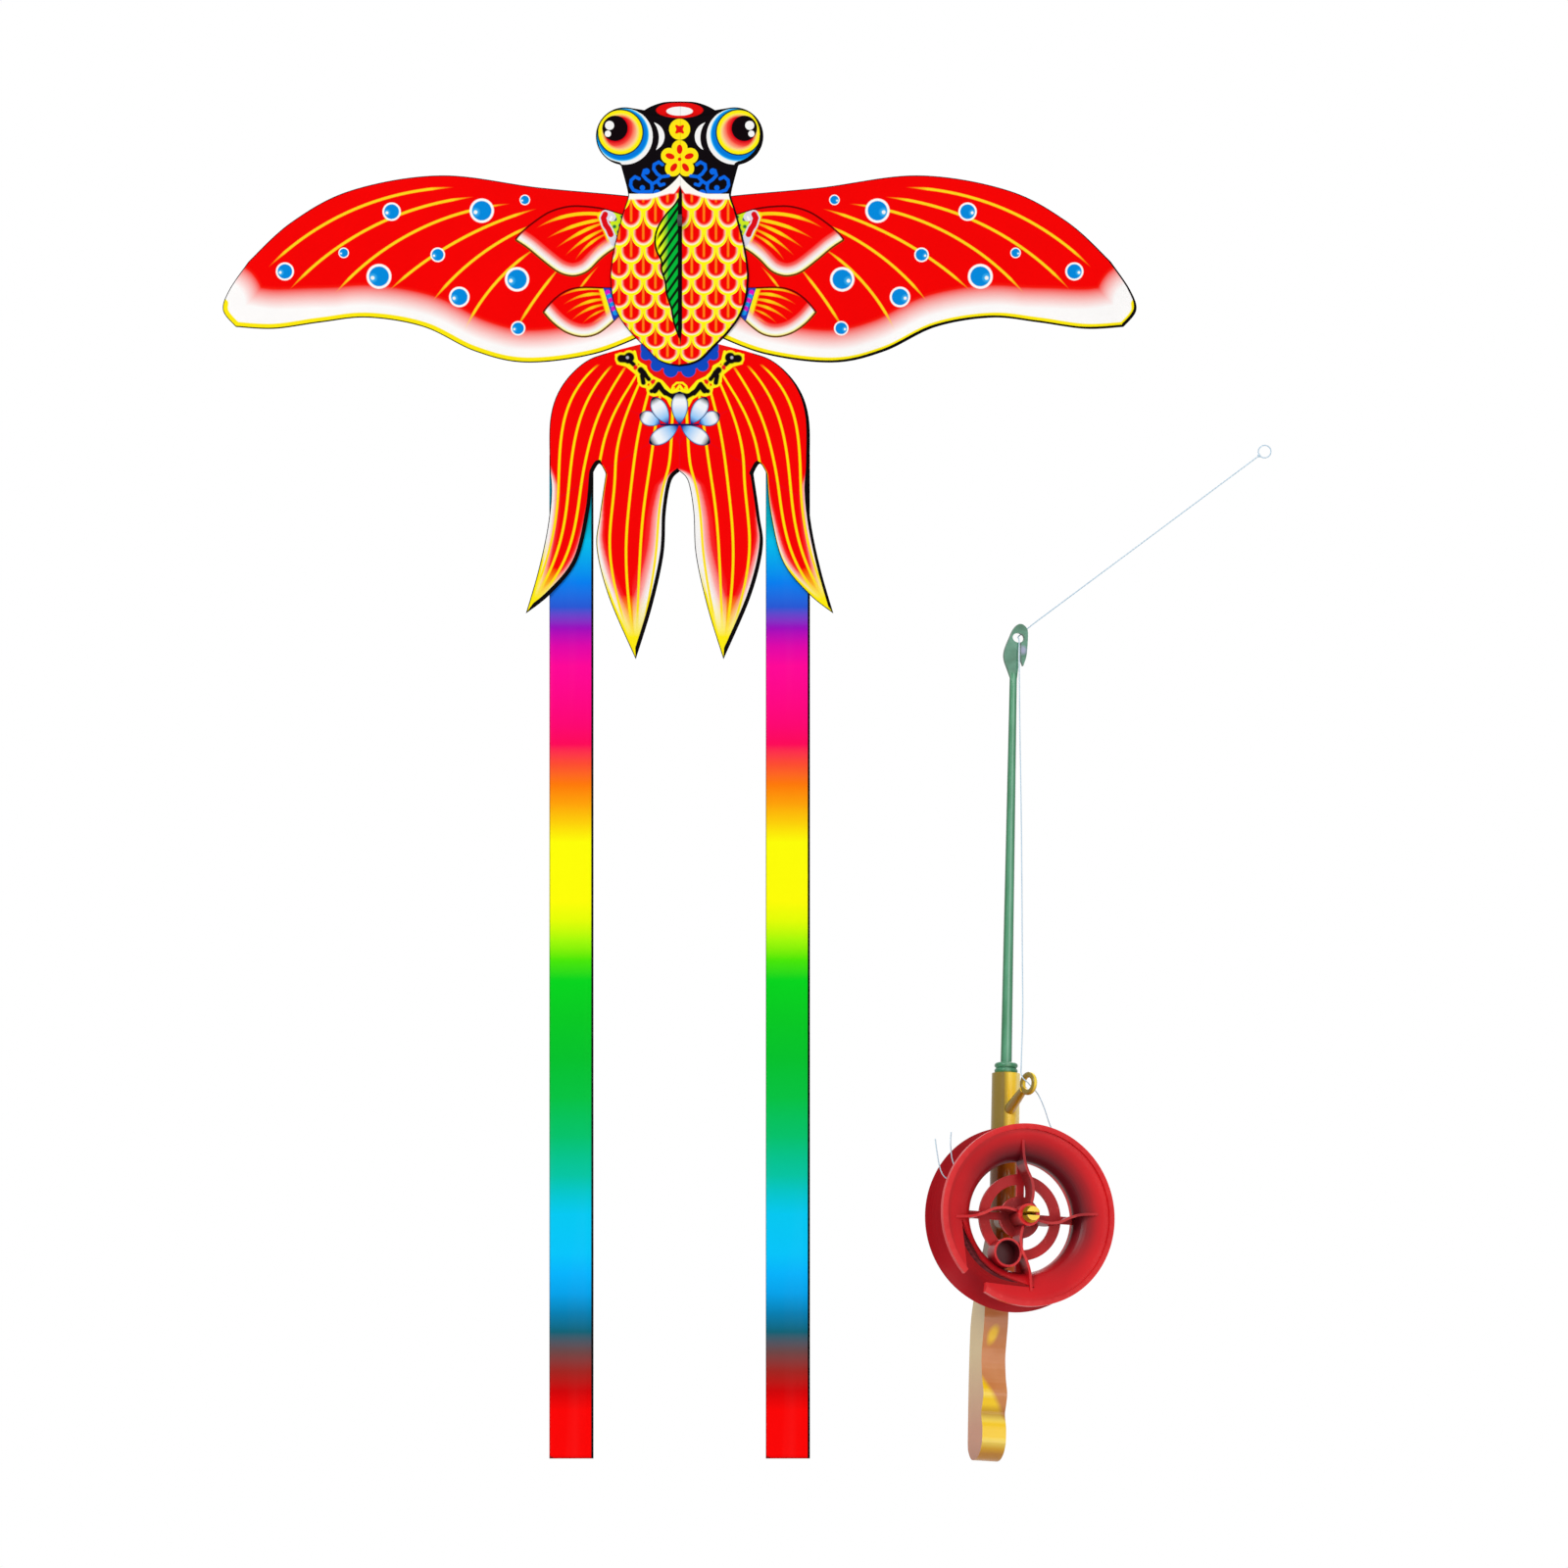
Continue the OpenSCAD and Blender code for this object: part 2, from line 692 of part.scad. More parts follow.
module handle() {
    socket_floor = tube_top - socket_depth;
    color("gold") in_winder() difference() {
        union() {
            translate([0, 0, -12]) cylinder(h = tube_top + 12, r = tube_r);
            rotate([90, 0, 90]) linear_extrude(grip_w, center = true) grip_outline();
            // Thrust boss, axle and snap end
            rotate([90, 0, 0]) cylinder(h = reel_back - hub_gap, r = tube_r - 0.6);
            rotate([90, 0, 0]) cylinder(h = barb_y + snap_l, r = axle_r);
            translate([0, -barb_y, 0]) rotate([90, 0, 0]) {
                cylinder(h = snap_l / 3, r1 = axle_r + snap_lip * 0.6, r2 = axle_r + snap_lip);
                translate([0, 0, snap_l / 3])
                    cylinder(h = snap_l * 2 / 3, r1 = axle_r + snap_lip, r2 = axle_r - 0.4);
            }
            // Line guide on its arm
            bar([0, -tube_r + 2, guide_up - 9], guide_centre + guide_r * [-0.27, 0.75, -0.6], 2.5, 1.7);
            translate(guide_centre) rotate([0, 0, guide_yaw]) rotate([0, 90, 0])
                rotate_extrude() translate([guide_r, 0]) circle(guide_wire, $fn = 32);
        }
        translate([0, 0, socket_floor]) cylinder(h = socket_depth + eps, r = spigot_r + rod_fit);
        block(
            [-axle_r - 2, -barb_y - snap_l - eps, -snap_slit / 2],
            [axle_r + 2, -split_y - 2, snap_slit / 2]
        );
    }
}

// Leaf-shaped tip, measured from the neck: left side, tip, right prong and slit
LEAF = [
    [-1.3, -1], [-2.6, 2.2], [-4, 5.6], [-4.4, 8.4], [-3.8, 11.4], [-2.2, 15.4], [-0.6, 19],
    [1.2, 21.2], [3, 21.6], [5, 20.4], [5.8, 18.2], [5.7, 13], [5.3, 8.4], [4, 4.2]
];
LEAF_SLIT = [[3, 6.4], [2.8, 10], [2.8, 13.8], [1.8, 13.8], [1.7, 9], [1.9, 3.6], [1.4, -1]];

module rod() {
    foot = tube_top - socket_depth + rod_fit;
    color("mediumseagreen") in_winder() union() {
        translate([0, 0, foot]) cylinder(h = socket_depth, r = spigot_r);
        translate([0, 0, foot]) cylinder(h = rod_neck - foot + 1, r1 = rod_foot_r, r2 = rod_neck_r);
        translate([0, 0, rod_neck]) front_plate(-leaf_t / 2, leaf_t / 2) difference() {
            polygon(concat(curve(LEAF, 3), LEAF_SLIT));
            translate([1.7, 15.8]) scale([1.3, 1]) circle(2);
        }
    }
}

module rod_collar() {
    bead_r = collar_h / 4;
    color("seagreen") in_winder() translate([0, 0, tube_top]) difference() {
        union() {
            cylinder(h = collar_h, r = collar_r - bead_r);
            for (row = [1, 3]) translate([0, 0, row * bead_r])
                rotate_extrude() translate([collar_r - bead_r, 0]) circle(bead_r, $fn = 24);
        }
        translate([0, 0, -eps]) cylinder(h = collar_h + 1, r = spigot_r + rod_fit);
    }
}

// The flanges' faces: radius and distance forward, from the drum to the rim
FRONT_DISH = [
    [drum_r - reel_wall, split_y], [drum_r - reel_wall + 0.4, split_y + 2.4],
    [drum_r + 1.4, reel_front_y - 4.6], [0.86 * reel_r, reel_front_y - 2],
    [reel_r - 2.2, reel_front_y - 1.4]
];
REAR_DISH = [
    [drum_r - reel_wall, web_back], [drum_r - reel_wall + 0.4, web_back - 2],
    [drum_r + 1.6, reel_back + 3.4], [0.88 * reel_r, reel_back + 0.7], [reel_r, reel_back]
];

module spokes_outline() {
    middle = curve(SPOKE, 5);
    for (turn = [0 : 90 : 270]) rotate(spoke_turn + turn)
        polygon(concat(
            inset(middle, spoke_t / 2),
            [for (i = [len(middle) - 1 : -1 : 0]) inset(middle, -spoke_t / 2)[i]]
        ));
}

module reel_front() {
    dish = curve(FRONT_DISH, 5);
    back = [for (p = dish) if (p[1] > split_y + 4.6) p + [0.75, -1.25] * reel_wall];
    color("crimson") in_winder() difference() {
        union() {
            difference() {
                // Front flange with its stepped rim, and the front half of the drum
                turned() polygon(concat(
                    dish,
                    [
                        [reel_r - 2.2, reel_front_y], [reel_r, reel_front_y - 0.3],
                        [reel_r, reel_front_y - 1.4 - reel_wall]
                    ],
                    [for (i = [len(back) - 2 : -1 : 0]) back[i]],
                    [[drum_r, split_y + 2.2], [drum_r, split_y]]
                ));
                front_plate(split_y + 0.6, reel_front_y + 1) polygon(NOTCH);
            }
            // Spokes, kept inside the dish
            intersection() {
                front_plate(split_y, reel_front_y - 2.2) spokes_outline();
                turned() polygon(concat(
                    [[0, split_y]], dish, [[reel_r - 2.2, reel_front_y], [0, reel_front_y]]
                ));
            }
            turned() square_ring(0, hub_r, split_y, reel_front_y);
            translate([boss_x, 0, boss_z]) turned() square_ring(0, boss_r, split_y, reel_front_y - 2.4);
        }
        turned() square_ring(0, axle_r + axle_fit, split_y - 1, reel_front_y + 1);
        translate([boss_x, 0, boss_z]) turned()
            square_ring(0, boss_r - boss_wall, split_y + 1.2, reel_front_y);
    }
}

// Rectangle between two radii and two distances forward
module square_ring(r1, r2, y1, y2) {
    translate([r1, y1]) square([r2 - r1, y2 - y1]);
}

module reel_rear() {
    dish = curve(REAR_DISH, 5);
    wall = [for (p = dish) if (p[1] < web_back - 4.6) p + [0.75, 1.25] * reel_wall];
    color("firebrick") in_winder() difference() {
        union() {
            turned() polygon(concat(
                [[drum_r, split_y], [drum_r - reel_wall, split_y]],
                dish,
                [[reel_r, reel_back + reel_wall]],
                [for (i = [len(wall) - 2 : -1 : 0]) wall[i]],
                [[drum_r, web_back - 1.2]]
            ));
            turned() square_ring(0, hub_r + 0.6, reel_back + hub_gap, split_y);
            front_plate(web_back, split_y) web_outline();
        }
        turned() square_ring(0, axle_r + axle_fit, 0, reel_front_y);
    }
}

// Hub disc, ring and four ribs
module web_outline() {
    rim = drum_r - reel_wall + 0.4;
    circle(hub_disc_r);
    difference() {
        circle(ring_out);
        circle(ring_in);
    }
    intersection() {
        circle(rim);
        for (turn = [0, 90]) rotate(turn) square([2 * rim, rib_w], center = true);
    }
}

// The winding fills the middle of the groove
pack_half = 1.9;
groove_y = split_y + 0.2;

module line_pack() {
    color("white") in_winder() turned()
        square_ring(drum_r + 0.1, drum_r + pack_h, groove_y - pack_half, groove_y + pack_half);
}

// ---------------------------------------------------------------- line

module line_along(route, steps) {
    in_winder() rod_along(curve(route, steps), line_d / 2, line_sides, [0.8, 0.6, 0]);
}

module flying_line() {
    color("white") line_along(LINE_ROUTE, 2);
}

module line_loop() {
    end = LINE_ROUTE[len(LINE_ROUTE) - 1];
    before = LINE_ROUTE[len(LINE_ROUTE) - 2];
    dir = (end - before) / norm(end - before);
    color("white") in_winder() {
        translate(end + dir * line_d * 1.5) sphere(line_d * 1.4, $fn = 24);
        translate(end + dir * (loop_r + 2 * line_d))
            rotate([0, acos(dir[2]), atan2(dir[1], dir[0])])
                rotate([90, 0, 0])
                    rotate_extrude() translate([loop_r, 0]) circle(line_d / 2, $fn = 16);
    }
}

module line_tag_outer() {
    color("white") line_along(TAG_OUTER_ROUTE, 2);
}

module line_tag_inner() {
    color("white") line_along(TAG_INNER_ROUTE, 2);
}

body_panel();
wing_panel_left();
wing_panel_right();
tail_fin_panel();
spine_rod();
wing_spar_left();
wing_spar_right();
tail_spreader();
spar_connector();
tail_clip();
wing_sleeve_left();
wing_sleeve_right();
head_pocket();
tail_pocket();
wing_tip_pocket_left();
wing_tip_pocket_right();
spreader_pocket_left();
spreader_pocket_right();
streamer_tape_left();
streamer_tape_right();
streamer_left();
streamer_right();
handle();
rod();
rod_collar();
reel_front();
reel_rear();
line_pack();
flying_line();
line_loop();
line_tag_outer();
line_tag_inner();
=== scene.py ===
# %% [markdown]
# # A goldfish kite and the rod winder that flies it
#
# The real set is a flat cloth kite, printed on one side, on four thin rods, with two long
# ribbons, and beside it a small winder in the shape of a fishing rod. The packed CAD model
# gives every place and size. This lesson dresses it: cloth surfaces are worked out with
# numpy, and every print is drawn by shader nodes, so that it stays sharp at any distance.

import functools
import math

import bmesh
import bpy
import numpy as np
from mathutils import Matrix, Vector


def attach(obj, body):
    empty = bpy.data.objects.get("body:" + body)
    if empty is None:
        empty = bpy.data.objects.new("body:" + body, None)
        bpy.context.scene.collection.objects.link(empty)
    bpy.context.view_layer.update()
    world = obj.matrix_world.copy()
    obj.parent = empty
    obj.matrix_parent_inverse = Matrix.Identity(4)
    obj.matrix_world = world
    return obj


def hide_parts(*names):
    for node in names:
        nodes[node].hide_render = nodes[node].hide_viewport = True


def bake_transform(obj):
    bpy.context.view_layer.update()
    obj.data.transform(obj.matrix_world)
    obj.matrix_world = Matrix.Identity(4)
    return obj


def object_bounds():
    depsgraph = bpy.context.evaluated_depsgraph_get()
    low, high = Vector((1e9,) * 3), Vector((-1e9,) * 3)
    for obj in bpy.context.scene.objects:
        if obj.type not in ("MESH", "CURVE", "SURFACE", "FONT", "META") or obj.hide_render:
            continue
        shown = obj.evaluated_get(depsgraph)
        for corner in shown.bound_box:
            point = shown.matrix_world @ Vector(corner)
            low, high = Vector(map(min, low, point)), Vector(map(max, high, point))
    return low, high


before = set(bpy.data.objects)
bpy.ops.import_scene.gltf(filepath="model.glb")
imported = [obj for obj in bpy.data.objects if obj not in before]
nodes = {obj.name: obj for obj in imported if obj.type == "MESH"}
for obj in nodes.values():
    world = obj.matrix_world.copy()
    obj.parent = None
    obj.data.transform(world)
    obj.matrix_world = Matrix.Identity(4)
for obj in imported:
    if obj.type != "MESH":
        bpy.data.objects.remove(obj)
cad_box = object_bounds()
MM, TO_MM = 0.001, 1000.0  # a millimetre in metres, and metres back to millimetres
WORD = {-1: "left", 1: "right"}
print("CAD box in mm:", [[round(c / MM, 1) for c in corner] for corner in cad_box])

# %% [markdown]
# ## Camera
#
# The set is shown flat, as in a catalogue, so a long lens from six metres away is used: it
# keeps upright edges upright and circles round. A short lens would bend the ribbons apart.

# %% A long lens, straight in front of the set
middle = (cad_box[0] + cad_box[1]) / 2
distance, picture_width = 6.0, 0.640
right_of_middle, below_middle = 0.0144, 0.001
camera = bpy.data.objects.new("camera", bpy.data.cameras.new("camera"))
camera.data.sensor_width = 36.0
camera.data.lens = camera.data.sensor_width * distance / picture_width
camera.data.clip_end = 50.0
camera.location = (middle.x + right_of_middle, -distance, middle.z - below_middle)
camera.rotation_euler = (math.pi / 2, 0.0, 0.0)
bpy.context.scene.collection.objects.link(camera)
bpy.context.scene.camera = camera
bpy.context.scene.view_settings.view_transform = "Standard"
print("lens", round(camera.data.lens), "mm, camera at", [round(c, 3) for c in camera.location])

# %% [markdown]
# ## Curves
#
# Every outline of the kite and every route of the line starts as a few chosen points. A
# Catmull-Rom curve goes through all of them, which is easier to plan than Bezier handles.


# %% A smooth curve through points
def curve(points, steps):
    """Between two points b and c, with neighbours a and d, the place at t from 0 to 1 is half
    of 2b + (c - a)t + (2a - 5b + 4c - d)t^2 + (3b - a - 3c + d)t^3."""
    p = np.asarray(points, float)
    a, b, c, d = np.vstack([p[:1], p[:-2]]), p[:-1], p[1:], np.vstack([p[2:], p[-1:]])
    t = (np.arange(steps) / steps)[None, :, None]
    a, b, c, d = (q[:, None, :] for q in (a, b, c, d))
    pieces = (2 * b + (c - a) * t + (2 * a - 5 * b + 4 * c - d) * t**2
              + (3 * b - a - 3 * c + d) * t**3) / 2
    return np.vstack([pieces.reshape(-1, p.shape[1]), p[-1:]])


def turn(axis, degrees):
    """Rotation matrix about the X, Y or Z axis, by the right-hand rule."""
    s, c = math.sin(math.radians(degrees)), math.cos(math.radians(degrees))
    i, j = {"X": (1, 2), "Y": (2, 0), "Z": (0, 1)}[axis]
    made = np.eye(3)
    made[i, i] = made[j, j] = c
    made[i, j], made[j, i] = -s, s
    return made


WINDER_TURN = turn("Y", 1.2) @ turn("X", -9.0) @ turn("Z", 20.0)
WINDER_PLACE = np.array([132.1, 0.0, -409.2])


def from_winder(points):
    """Turns points in the winder's own frame into the set's frame, all in millimetres."""
    return np.asarray(points, float) @ WINDER_TURN.T + WINDER_PLACE


print("the reel's axle stands at", from_winder([[0, 0, 0]])[0].round(1), "mm")

# %% [markdown]
# ## The flying line
#
# The led-out line is a thin twisted cord. It leaves the winding, passes through the guide and
# the eye of the rod's tip, and is then held taut to the upper right. A curve object with a
# round bevel is the right tool for a cord: its own line is its centreline, and its length
# can be measured. The same points as in the CAD model are used, so both follow one route.

# %% Routes of the line, in the winder's frame
LINE_ROUTE = [
    [24, -20.3, 12.8], [21.4, -20.4, 18.5], [18.6, -20.6, 24], [15.8, -20.9, 29.5],
    [13.1, -21.2, 35], [10.6, -21.6, 40.2], [8.4, -22.1, 45.4], [5.4, -22.4, 50.8],
    [1.5, -22, 54.8], [-1.3, -21.3, 58], [-1.3, -20.7, 64], [-0.2, -18.4, 84],
    [0.2, -16, 104], [0.6, -13.6, 124], [1, -11.2, 144], [1.3, -8.9, 164], [1.5, -6.6, 184],
    [1.6, -4.4, 204], [1.7, -2.6, 224], [1.7, -1.9, 236], [1.7, -1.6, 240.2],
    [1.7, -0.9, 241.8], [1.8, 0.2, 242.4], [2.4, 1.4, 243], [4, 2, 244.4], [8, 0.6, 248.2],
    [18, -4.4, 256.8], [36, -13.6, 272.2], [54, -22.8, 287.6], [72, -31.9, 303],
    [90, -41, 318.4],
]
TAG_OUTER_ROUTE = [
    [-23.6, -17.9, 12.8], [-27, -17.9, 12.7], [-30.5, -17.9, 13.4], [-33.4, -17.9, 15.4],
    [-35, -17.9, 19], [-36.1, -17.9, 24], [-37.1, -17.9, 30],
]
TAG_INNER_ROUTE = [
    [-21.9, -17.9, 15.5], [-25, -17.9, 16.6], [-28, -17.9, 18.8], [-29.5, -17.9, 22],
    [-30.2, -17.9, 26], [-30.4, -17.9, 29.6], [-30.2, -17.9, 33.2],
]
LINE_D = 0.5


def line_piece(name, route, body, node):
    """A round cord along a smooth curve through the route. Its radius sits on its points, with
    a bevel of 1, so the curve's own box is no wider than the line."""
    path = from_winder(curve(route, 4))
    data = bpy.data.curves.new(name, "CURVE")
    data.dimensions = "3D"
    data.bevel_depth = 1.0
    data.bevel_resolution = 3
    data.use_fill_caps = True
    spline = data.splines.new("POLY")
    spline.points.add(len(path) - 1)
    spline.points.foreach_set("co", np.c_[path * MM, np.ones(len(path))].ravel())
    spline.points.foreach_set("radius", np.full(len(path), LINE_D / 2 * MM))
    piece = bpy.data.objects.new(name, data)
    bpy.context.scene.collection.objects.link(piece)
    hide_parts(node)
    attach(piece, body)
    length = np.linalg.norm(np.diff(path, axis=0), axis=1).sum() * MM
    print(name, "is", round(length / MM), "mm long")
    return piece, path, length


line, line_path, line_length = line_piece("led_line", LINE_ROUTE, "winder", "flying_line")
line_piece("tag_outer", TAG_OUTER_ROUTE, "reel", "line_tag_outer")
line_piece("tag_inner", TAG_INNER_ROUTE, "reel", "line_tag_inner")

# %% [markdown]
# ## Light
#
# Printed cloth should show its inks about as they were mixed, so the light is soft and comes
# mostly from the front: one broad lamp from the upper left gives the plastic its highlight,
# a weaker one fills from the right, and a third lights the rods and pockets on the back.


# %% Lamps
def lamp(name, place, size, power):
    """A square lamp at a place in metres that faces the middle of the set."""
    data = bpy.data.lights.new(name, "AREA")
    data.size, data.energy = size, power
    made = bpy.data.objects.new(name, data)
    made.location = place
    made.rotation_euler = (middle - Vector(place)).to_track_quat("-Z", "Y").to_euler()
    bpy.context.scene.collection.objects.link(made)
    return made


LAMPS = {  # place in metres, side in metres, power in watts
    "key": ((-1.3, -2.4, 1.5), 1.2, 46.5),
    "fill": ((1.8, -2.4, 0.1), 1.8, 15.8),
    "back": ((0.6, 2.6, 1.6), 1.5, 32.0),
}
for name, how in LAMPS.items():
    lamp(name, *how)
print(len(LAMPS), "lamps")

# %% [markdown]
# ## Shader sums
#
# A print is arithmetic: how far is this place from a circle, an arc, an edge? Typed out as
# nodes that arithmetic is hard to read. The small class below wraps a socket, so a Python
# expression such as `(distance - 3.2) / width` adds its Math nodes by itself. Colours never
# pass through Math nodes, which would turn them grey; they are laid over each other by Mix.


# %% A socket that can be used in a Python expression
class Value:
    """A shader socket in a sum: each operator adds the Math node of the same name."""

    def __init__(self, finish, socket):
        self.finish, self.socket = finish, socket

    def math(self, operation, *others, clamp=False):
        return self.finish.node(
            "Math", {"operation": operation, "use_clamp": clamp}, (self, *others))

    def __add__(self, other):
        return self.math("ADD", other)

    def __sub__(self, other):
        return self.math("SUBTRACT", other)

    def __mul__(self, other):
        return self.math("MULTIPLY", other)

    def __truediv__(self, other):
        return self.math("DIVIDE", other)

    def __rsub__(self, other):
        return self.math("MULTIPLY_ADD", -1.0, other)

    def __rtruediv__(self, other):
        return self.finish.node("Math", {"operation": "DIVIDE"}, (other, self))

    def __abs__(self):
        return self.math("ABSOLUTE")

    def __neg__(self):
        return self.math("MULTIPLY", -1.0)

    __radd__, __rmul__ = __add__, __mul__

    def least(self, other):
        return self.math("MINIMUM", other)

    def most(self, other):
        return self.math("MAXIMUM", other)

    def ramp(self, start, end):
        """0 at start, 1 at end, straight between them and level outside."""
        scale = 1.0 / (end - start)
        return self.math("MULTIPLY_ADD", scale, -start * scale, clamp=True)


def any_of(masks):
    """1 where any of the masks is 1, because it is the greatest of them."""
    return functools.reduce(Value.most, masks)


# %% Inks
def ink(red, green, blue):
    """An ink given as three screen numbers up to 255, in the linear light that shaders use."""
    screen = np.array([red, green, blue]) / 255.0
    linear = np.where(screen <= 0.04045, screen / 12.92, ((screen + 0.055) / 1.055) ** 2.4)
    return (*linear.tolist(), 1.0)


print("red ink in linear light:", [round(c, 3) for c in ink(255, 0, 0)])


# %% A material in the making
class Finish:
    """A material in the making. node() adds any node, and the other methods are shorthand."""

    def __init__(self, name, kind="materials"):
        self.material = getattr(bpy.data, kind).new(name)
        self.material.use_nodes = True
        self.tree = self.material.node_tree
        self.tree.nodes.clear()
        self.kept = {}

    def node(self, kind, settings=None, values=(), output=0):
        """Adds a node, sets its settings first, then its sockets, and returns an output."""
        made = self.tree.nodes.new("ShaderNode" + kind)
        for key, value in (settings or {}).items():
            if key == "stops":
                stops = made.color_ramp.elements
                stops.remove(stops[1])
                stops[0].position, stops[0].color = value[0]
                for place, colour in value[1:]:
                    stops.new(place).color = colour
            else:
                setattr(made, key, value)
        pairs = values.items() if isinstance(values, dict) else enumerate(values)
        for key, value in pairs:
            if isinstance(value, Value):
                self.tree.links.new(value.socket, made.inputs[key])
            elif value is not None:
                made.inputs[key].default_value = value
        return Value(self, made.outputs[output])

    def place(self):
        """The place on the object, x, y and z, in millimetres."""
        if "place" not in self.kept:
            seen = self.node("TexCoord", output="Object")
            self.kept["place"] = [self.node("SeparateXYZ", None, (seen,), k) * TO_MM
                                  for k in range(3)]
        return self.kept["place"]

    def point(self, a, b):
        """A flat point from two distances, as a vector."""
        return self.node("CombineXYZ", None, (a, b, 0.0))

    def field(self, name):
        """A number that the mesh carries at its corners."""
        return self.node("Attribute", {"attribute_name": name}, output="Fac")

    def far(self, point, centre):
        """Distance from a point to a fixed centre."""
        return self.node("VectorMath", {"operation": "DISTANCE"}, (point, (*centre, 0.0)), "Value")

    def along(self, point, start, direction):
        """How far a point lies from start along a direction."""
        shift = -(start[0] * direction[0] + start[1] * direction[1])
        dot = self.node("VectorMath", {"operation": "DOT_PRODUCT"},
                        (point, (*direction, 0.0)), "Value")
        return dot + shift

    def within(self, distance, limit=0.0, soft=0.12):
        """1 where a distance is below a limit, 0 above, with an edge as wide as soft."""
        return distance.math("MULTIPLY_ADD", -1.0 / soft, limit / soft + 0.5, clamp=True)

    def lay(self, under, over, mask):
        """Lays one ink over another where the mask is 1."""
        return self.node("Mix", {"data_type": "RGBA"}, {0: mask, 6: under, 7: over}, 2)

    def coats(self, colour, *coats):
        """Lays ink after ink over a colour. A coat is an ink, or its three screen numbers, and
        the mask that says where it shows."""
        for over, mask in coats:
            over = ink(*over) if isinstance(over, tuple) and len(over) == 3 else over
            colour = self.lay(colour, over, mask)
        return colour

    def noise(self, scale, detail=3.0, stretch=(1.0, 1.0, 1.0)):
        """Cloudy noise on the object's own coordinates, with scale in cycles a millimetre."""
        seen = self.node("TexCoord", output="Object")
        moved = self.node("Mapping", None, {"Vector": seen, "Scale": stretch})
        return self.node("TexNoise", None,
                         {"Vector": moved, "Scale": scale * TO_MM, "Detail": detail})

    def bump(self, height, strength, depth_mm, normal=None):
        """Relief from a height of 0 to 1, depth_mm deep."""
        return self.node("Bump", None, {"Strength": strength, "Distance": depth_mm * MM,
                                        "Height": height, "Normal": normal})

    def close(self, shader, kind="OutputMaterial"):
        """Links a shader to the output and gives back what was made."""
        output = self.tree.nodes.new("ShaderNode" + kind)
        self.tree.links.new(shader.socket, output.inputs["Surface"])
        return self.material

    def surface(self, colour, roughness, normal=None, **others):
        """The Principled shader and the material's output; constants go on its own sockets."""
        values = {"Base Color": colour, "Roughness": roughness, "Normal": normal}
        values.update({key.replace("_", " "): value for key, value in others.items()})
        return self.close(self.node("BsdfPrincipled", None, values))


print("a finish can add", ", ".join(k for k in vars(Finish) if k[0] != "_"))

# %% [markdown]
# ## Ground and backdrop
#
# The backdrop is white only to rays that look at it straight, in a reflection or through
# clear plastic. For all other rays it is a dim, even sky, so it lights the set softly and
# doesn't bleach the inks. The ground lies just out of view; it takes the set's shadow, and
# is see-through from below, so that the set can be looked at from there too.

# %% A white backdrop and a pale ground
FULL_WHITE, SKY_LEVEL, GROUND_Z = (1.0, 1.0, 1.0, 1.0), 0.46, -0.62


def seen_directly(f):
    """1 for rays from the camera, in a reflection or through clear plastic."""
    rays = [f.node("LightPath", output=name)
            for name in ("Is Camera Ray", "Is Glossy Ray", "Is Transmission Ray")]
    return rays[0].most(rays[1]).most(rays[2])


def studio():
    f = Finish("studio", "worlds")
    sky = f.node("Background", None, {"Color": FULL_WHITE, "Strength": SKY_LEVEL})
    white = f.node("Background", None, {"Color": FULL_WHITE, "Strength": 1.0})
    return f.close(f.node("MixShader", None, (seen_directly(f), sky, white)), "OutputWorld")


def ground_paint():
    f = Finish("ground_paint")
    grain = f.noise(0.004, 3.0)
    colour = f.lay(ink(236, 236, 234), ink(246, 246, 245), grain)
    paint = f.node("BsdfDiffuse", None, {"Color": colour, "Roughness": 0.8})
    glow = f.node("Emission", None, {"Color": FULL_WHITE, "Strength": 0.92})
    lit = f.node("MixShader", None, (seen_directly(f) * 0.55, paint, glow))
    below = f.node("NewGeometry", output="Backfacing")
    return f.close(f.node("MixShader", None, (below, lit, f.node("BsdfTransparent"))))


bpy.context.scene.world = studio()
ground_mesh = bpy.data.meshes.new("ground")
corners = [(-1.0, -1.0), (1.2, -1.0), (1.2, 1.0), (-1.0, 1.0)]
ground_mesh.from_pydata([(x, y, GROUND_Z) for x, y in corners], [], [(0, 1, 2, 3)])
ground_mesh.materials.append(ground_paint())
ground = bpy.data.objects.new("ground", ground_mesh)
bpy.context.scene.collection.objects.link(ground)
print("ground", -GROUND_Z, "m below the tow eye")

# %% [markdown]
# ## Surfaces from grids
#
# A cloth panel is a function of two numbers: how far along, and how far across. Numpy works
# out all its points as whole arrays. Beside its place each point can carry numbers, such as
# its distance from the hem, and the print reads them as attributes.


# %% Grids, pieces and distances
def grid_faces(rows, columns, around=False):
    """Faces between neighbours of a grid that is stored row by row. With around, the last
    column joins the first."""
    i, j = np.meshgrid(np.arange(rows - 1), np.arange(columns - (not around)), indexing="ij")
    k = (j + 1) % columns
    return np.stack([i * columns + j, (i + 1) * columns + j,
                     (i + 1) * columns + k, i * columns + k], -1).reshape(-1, 4)


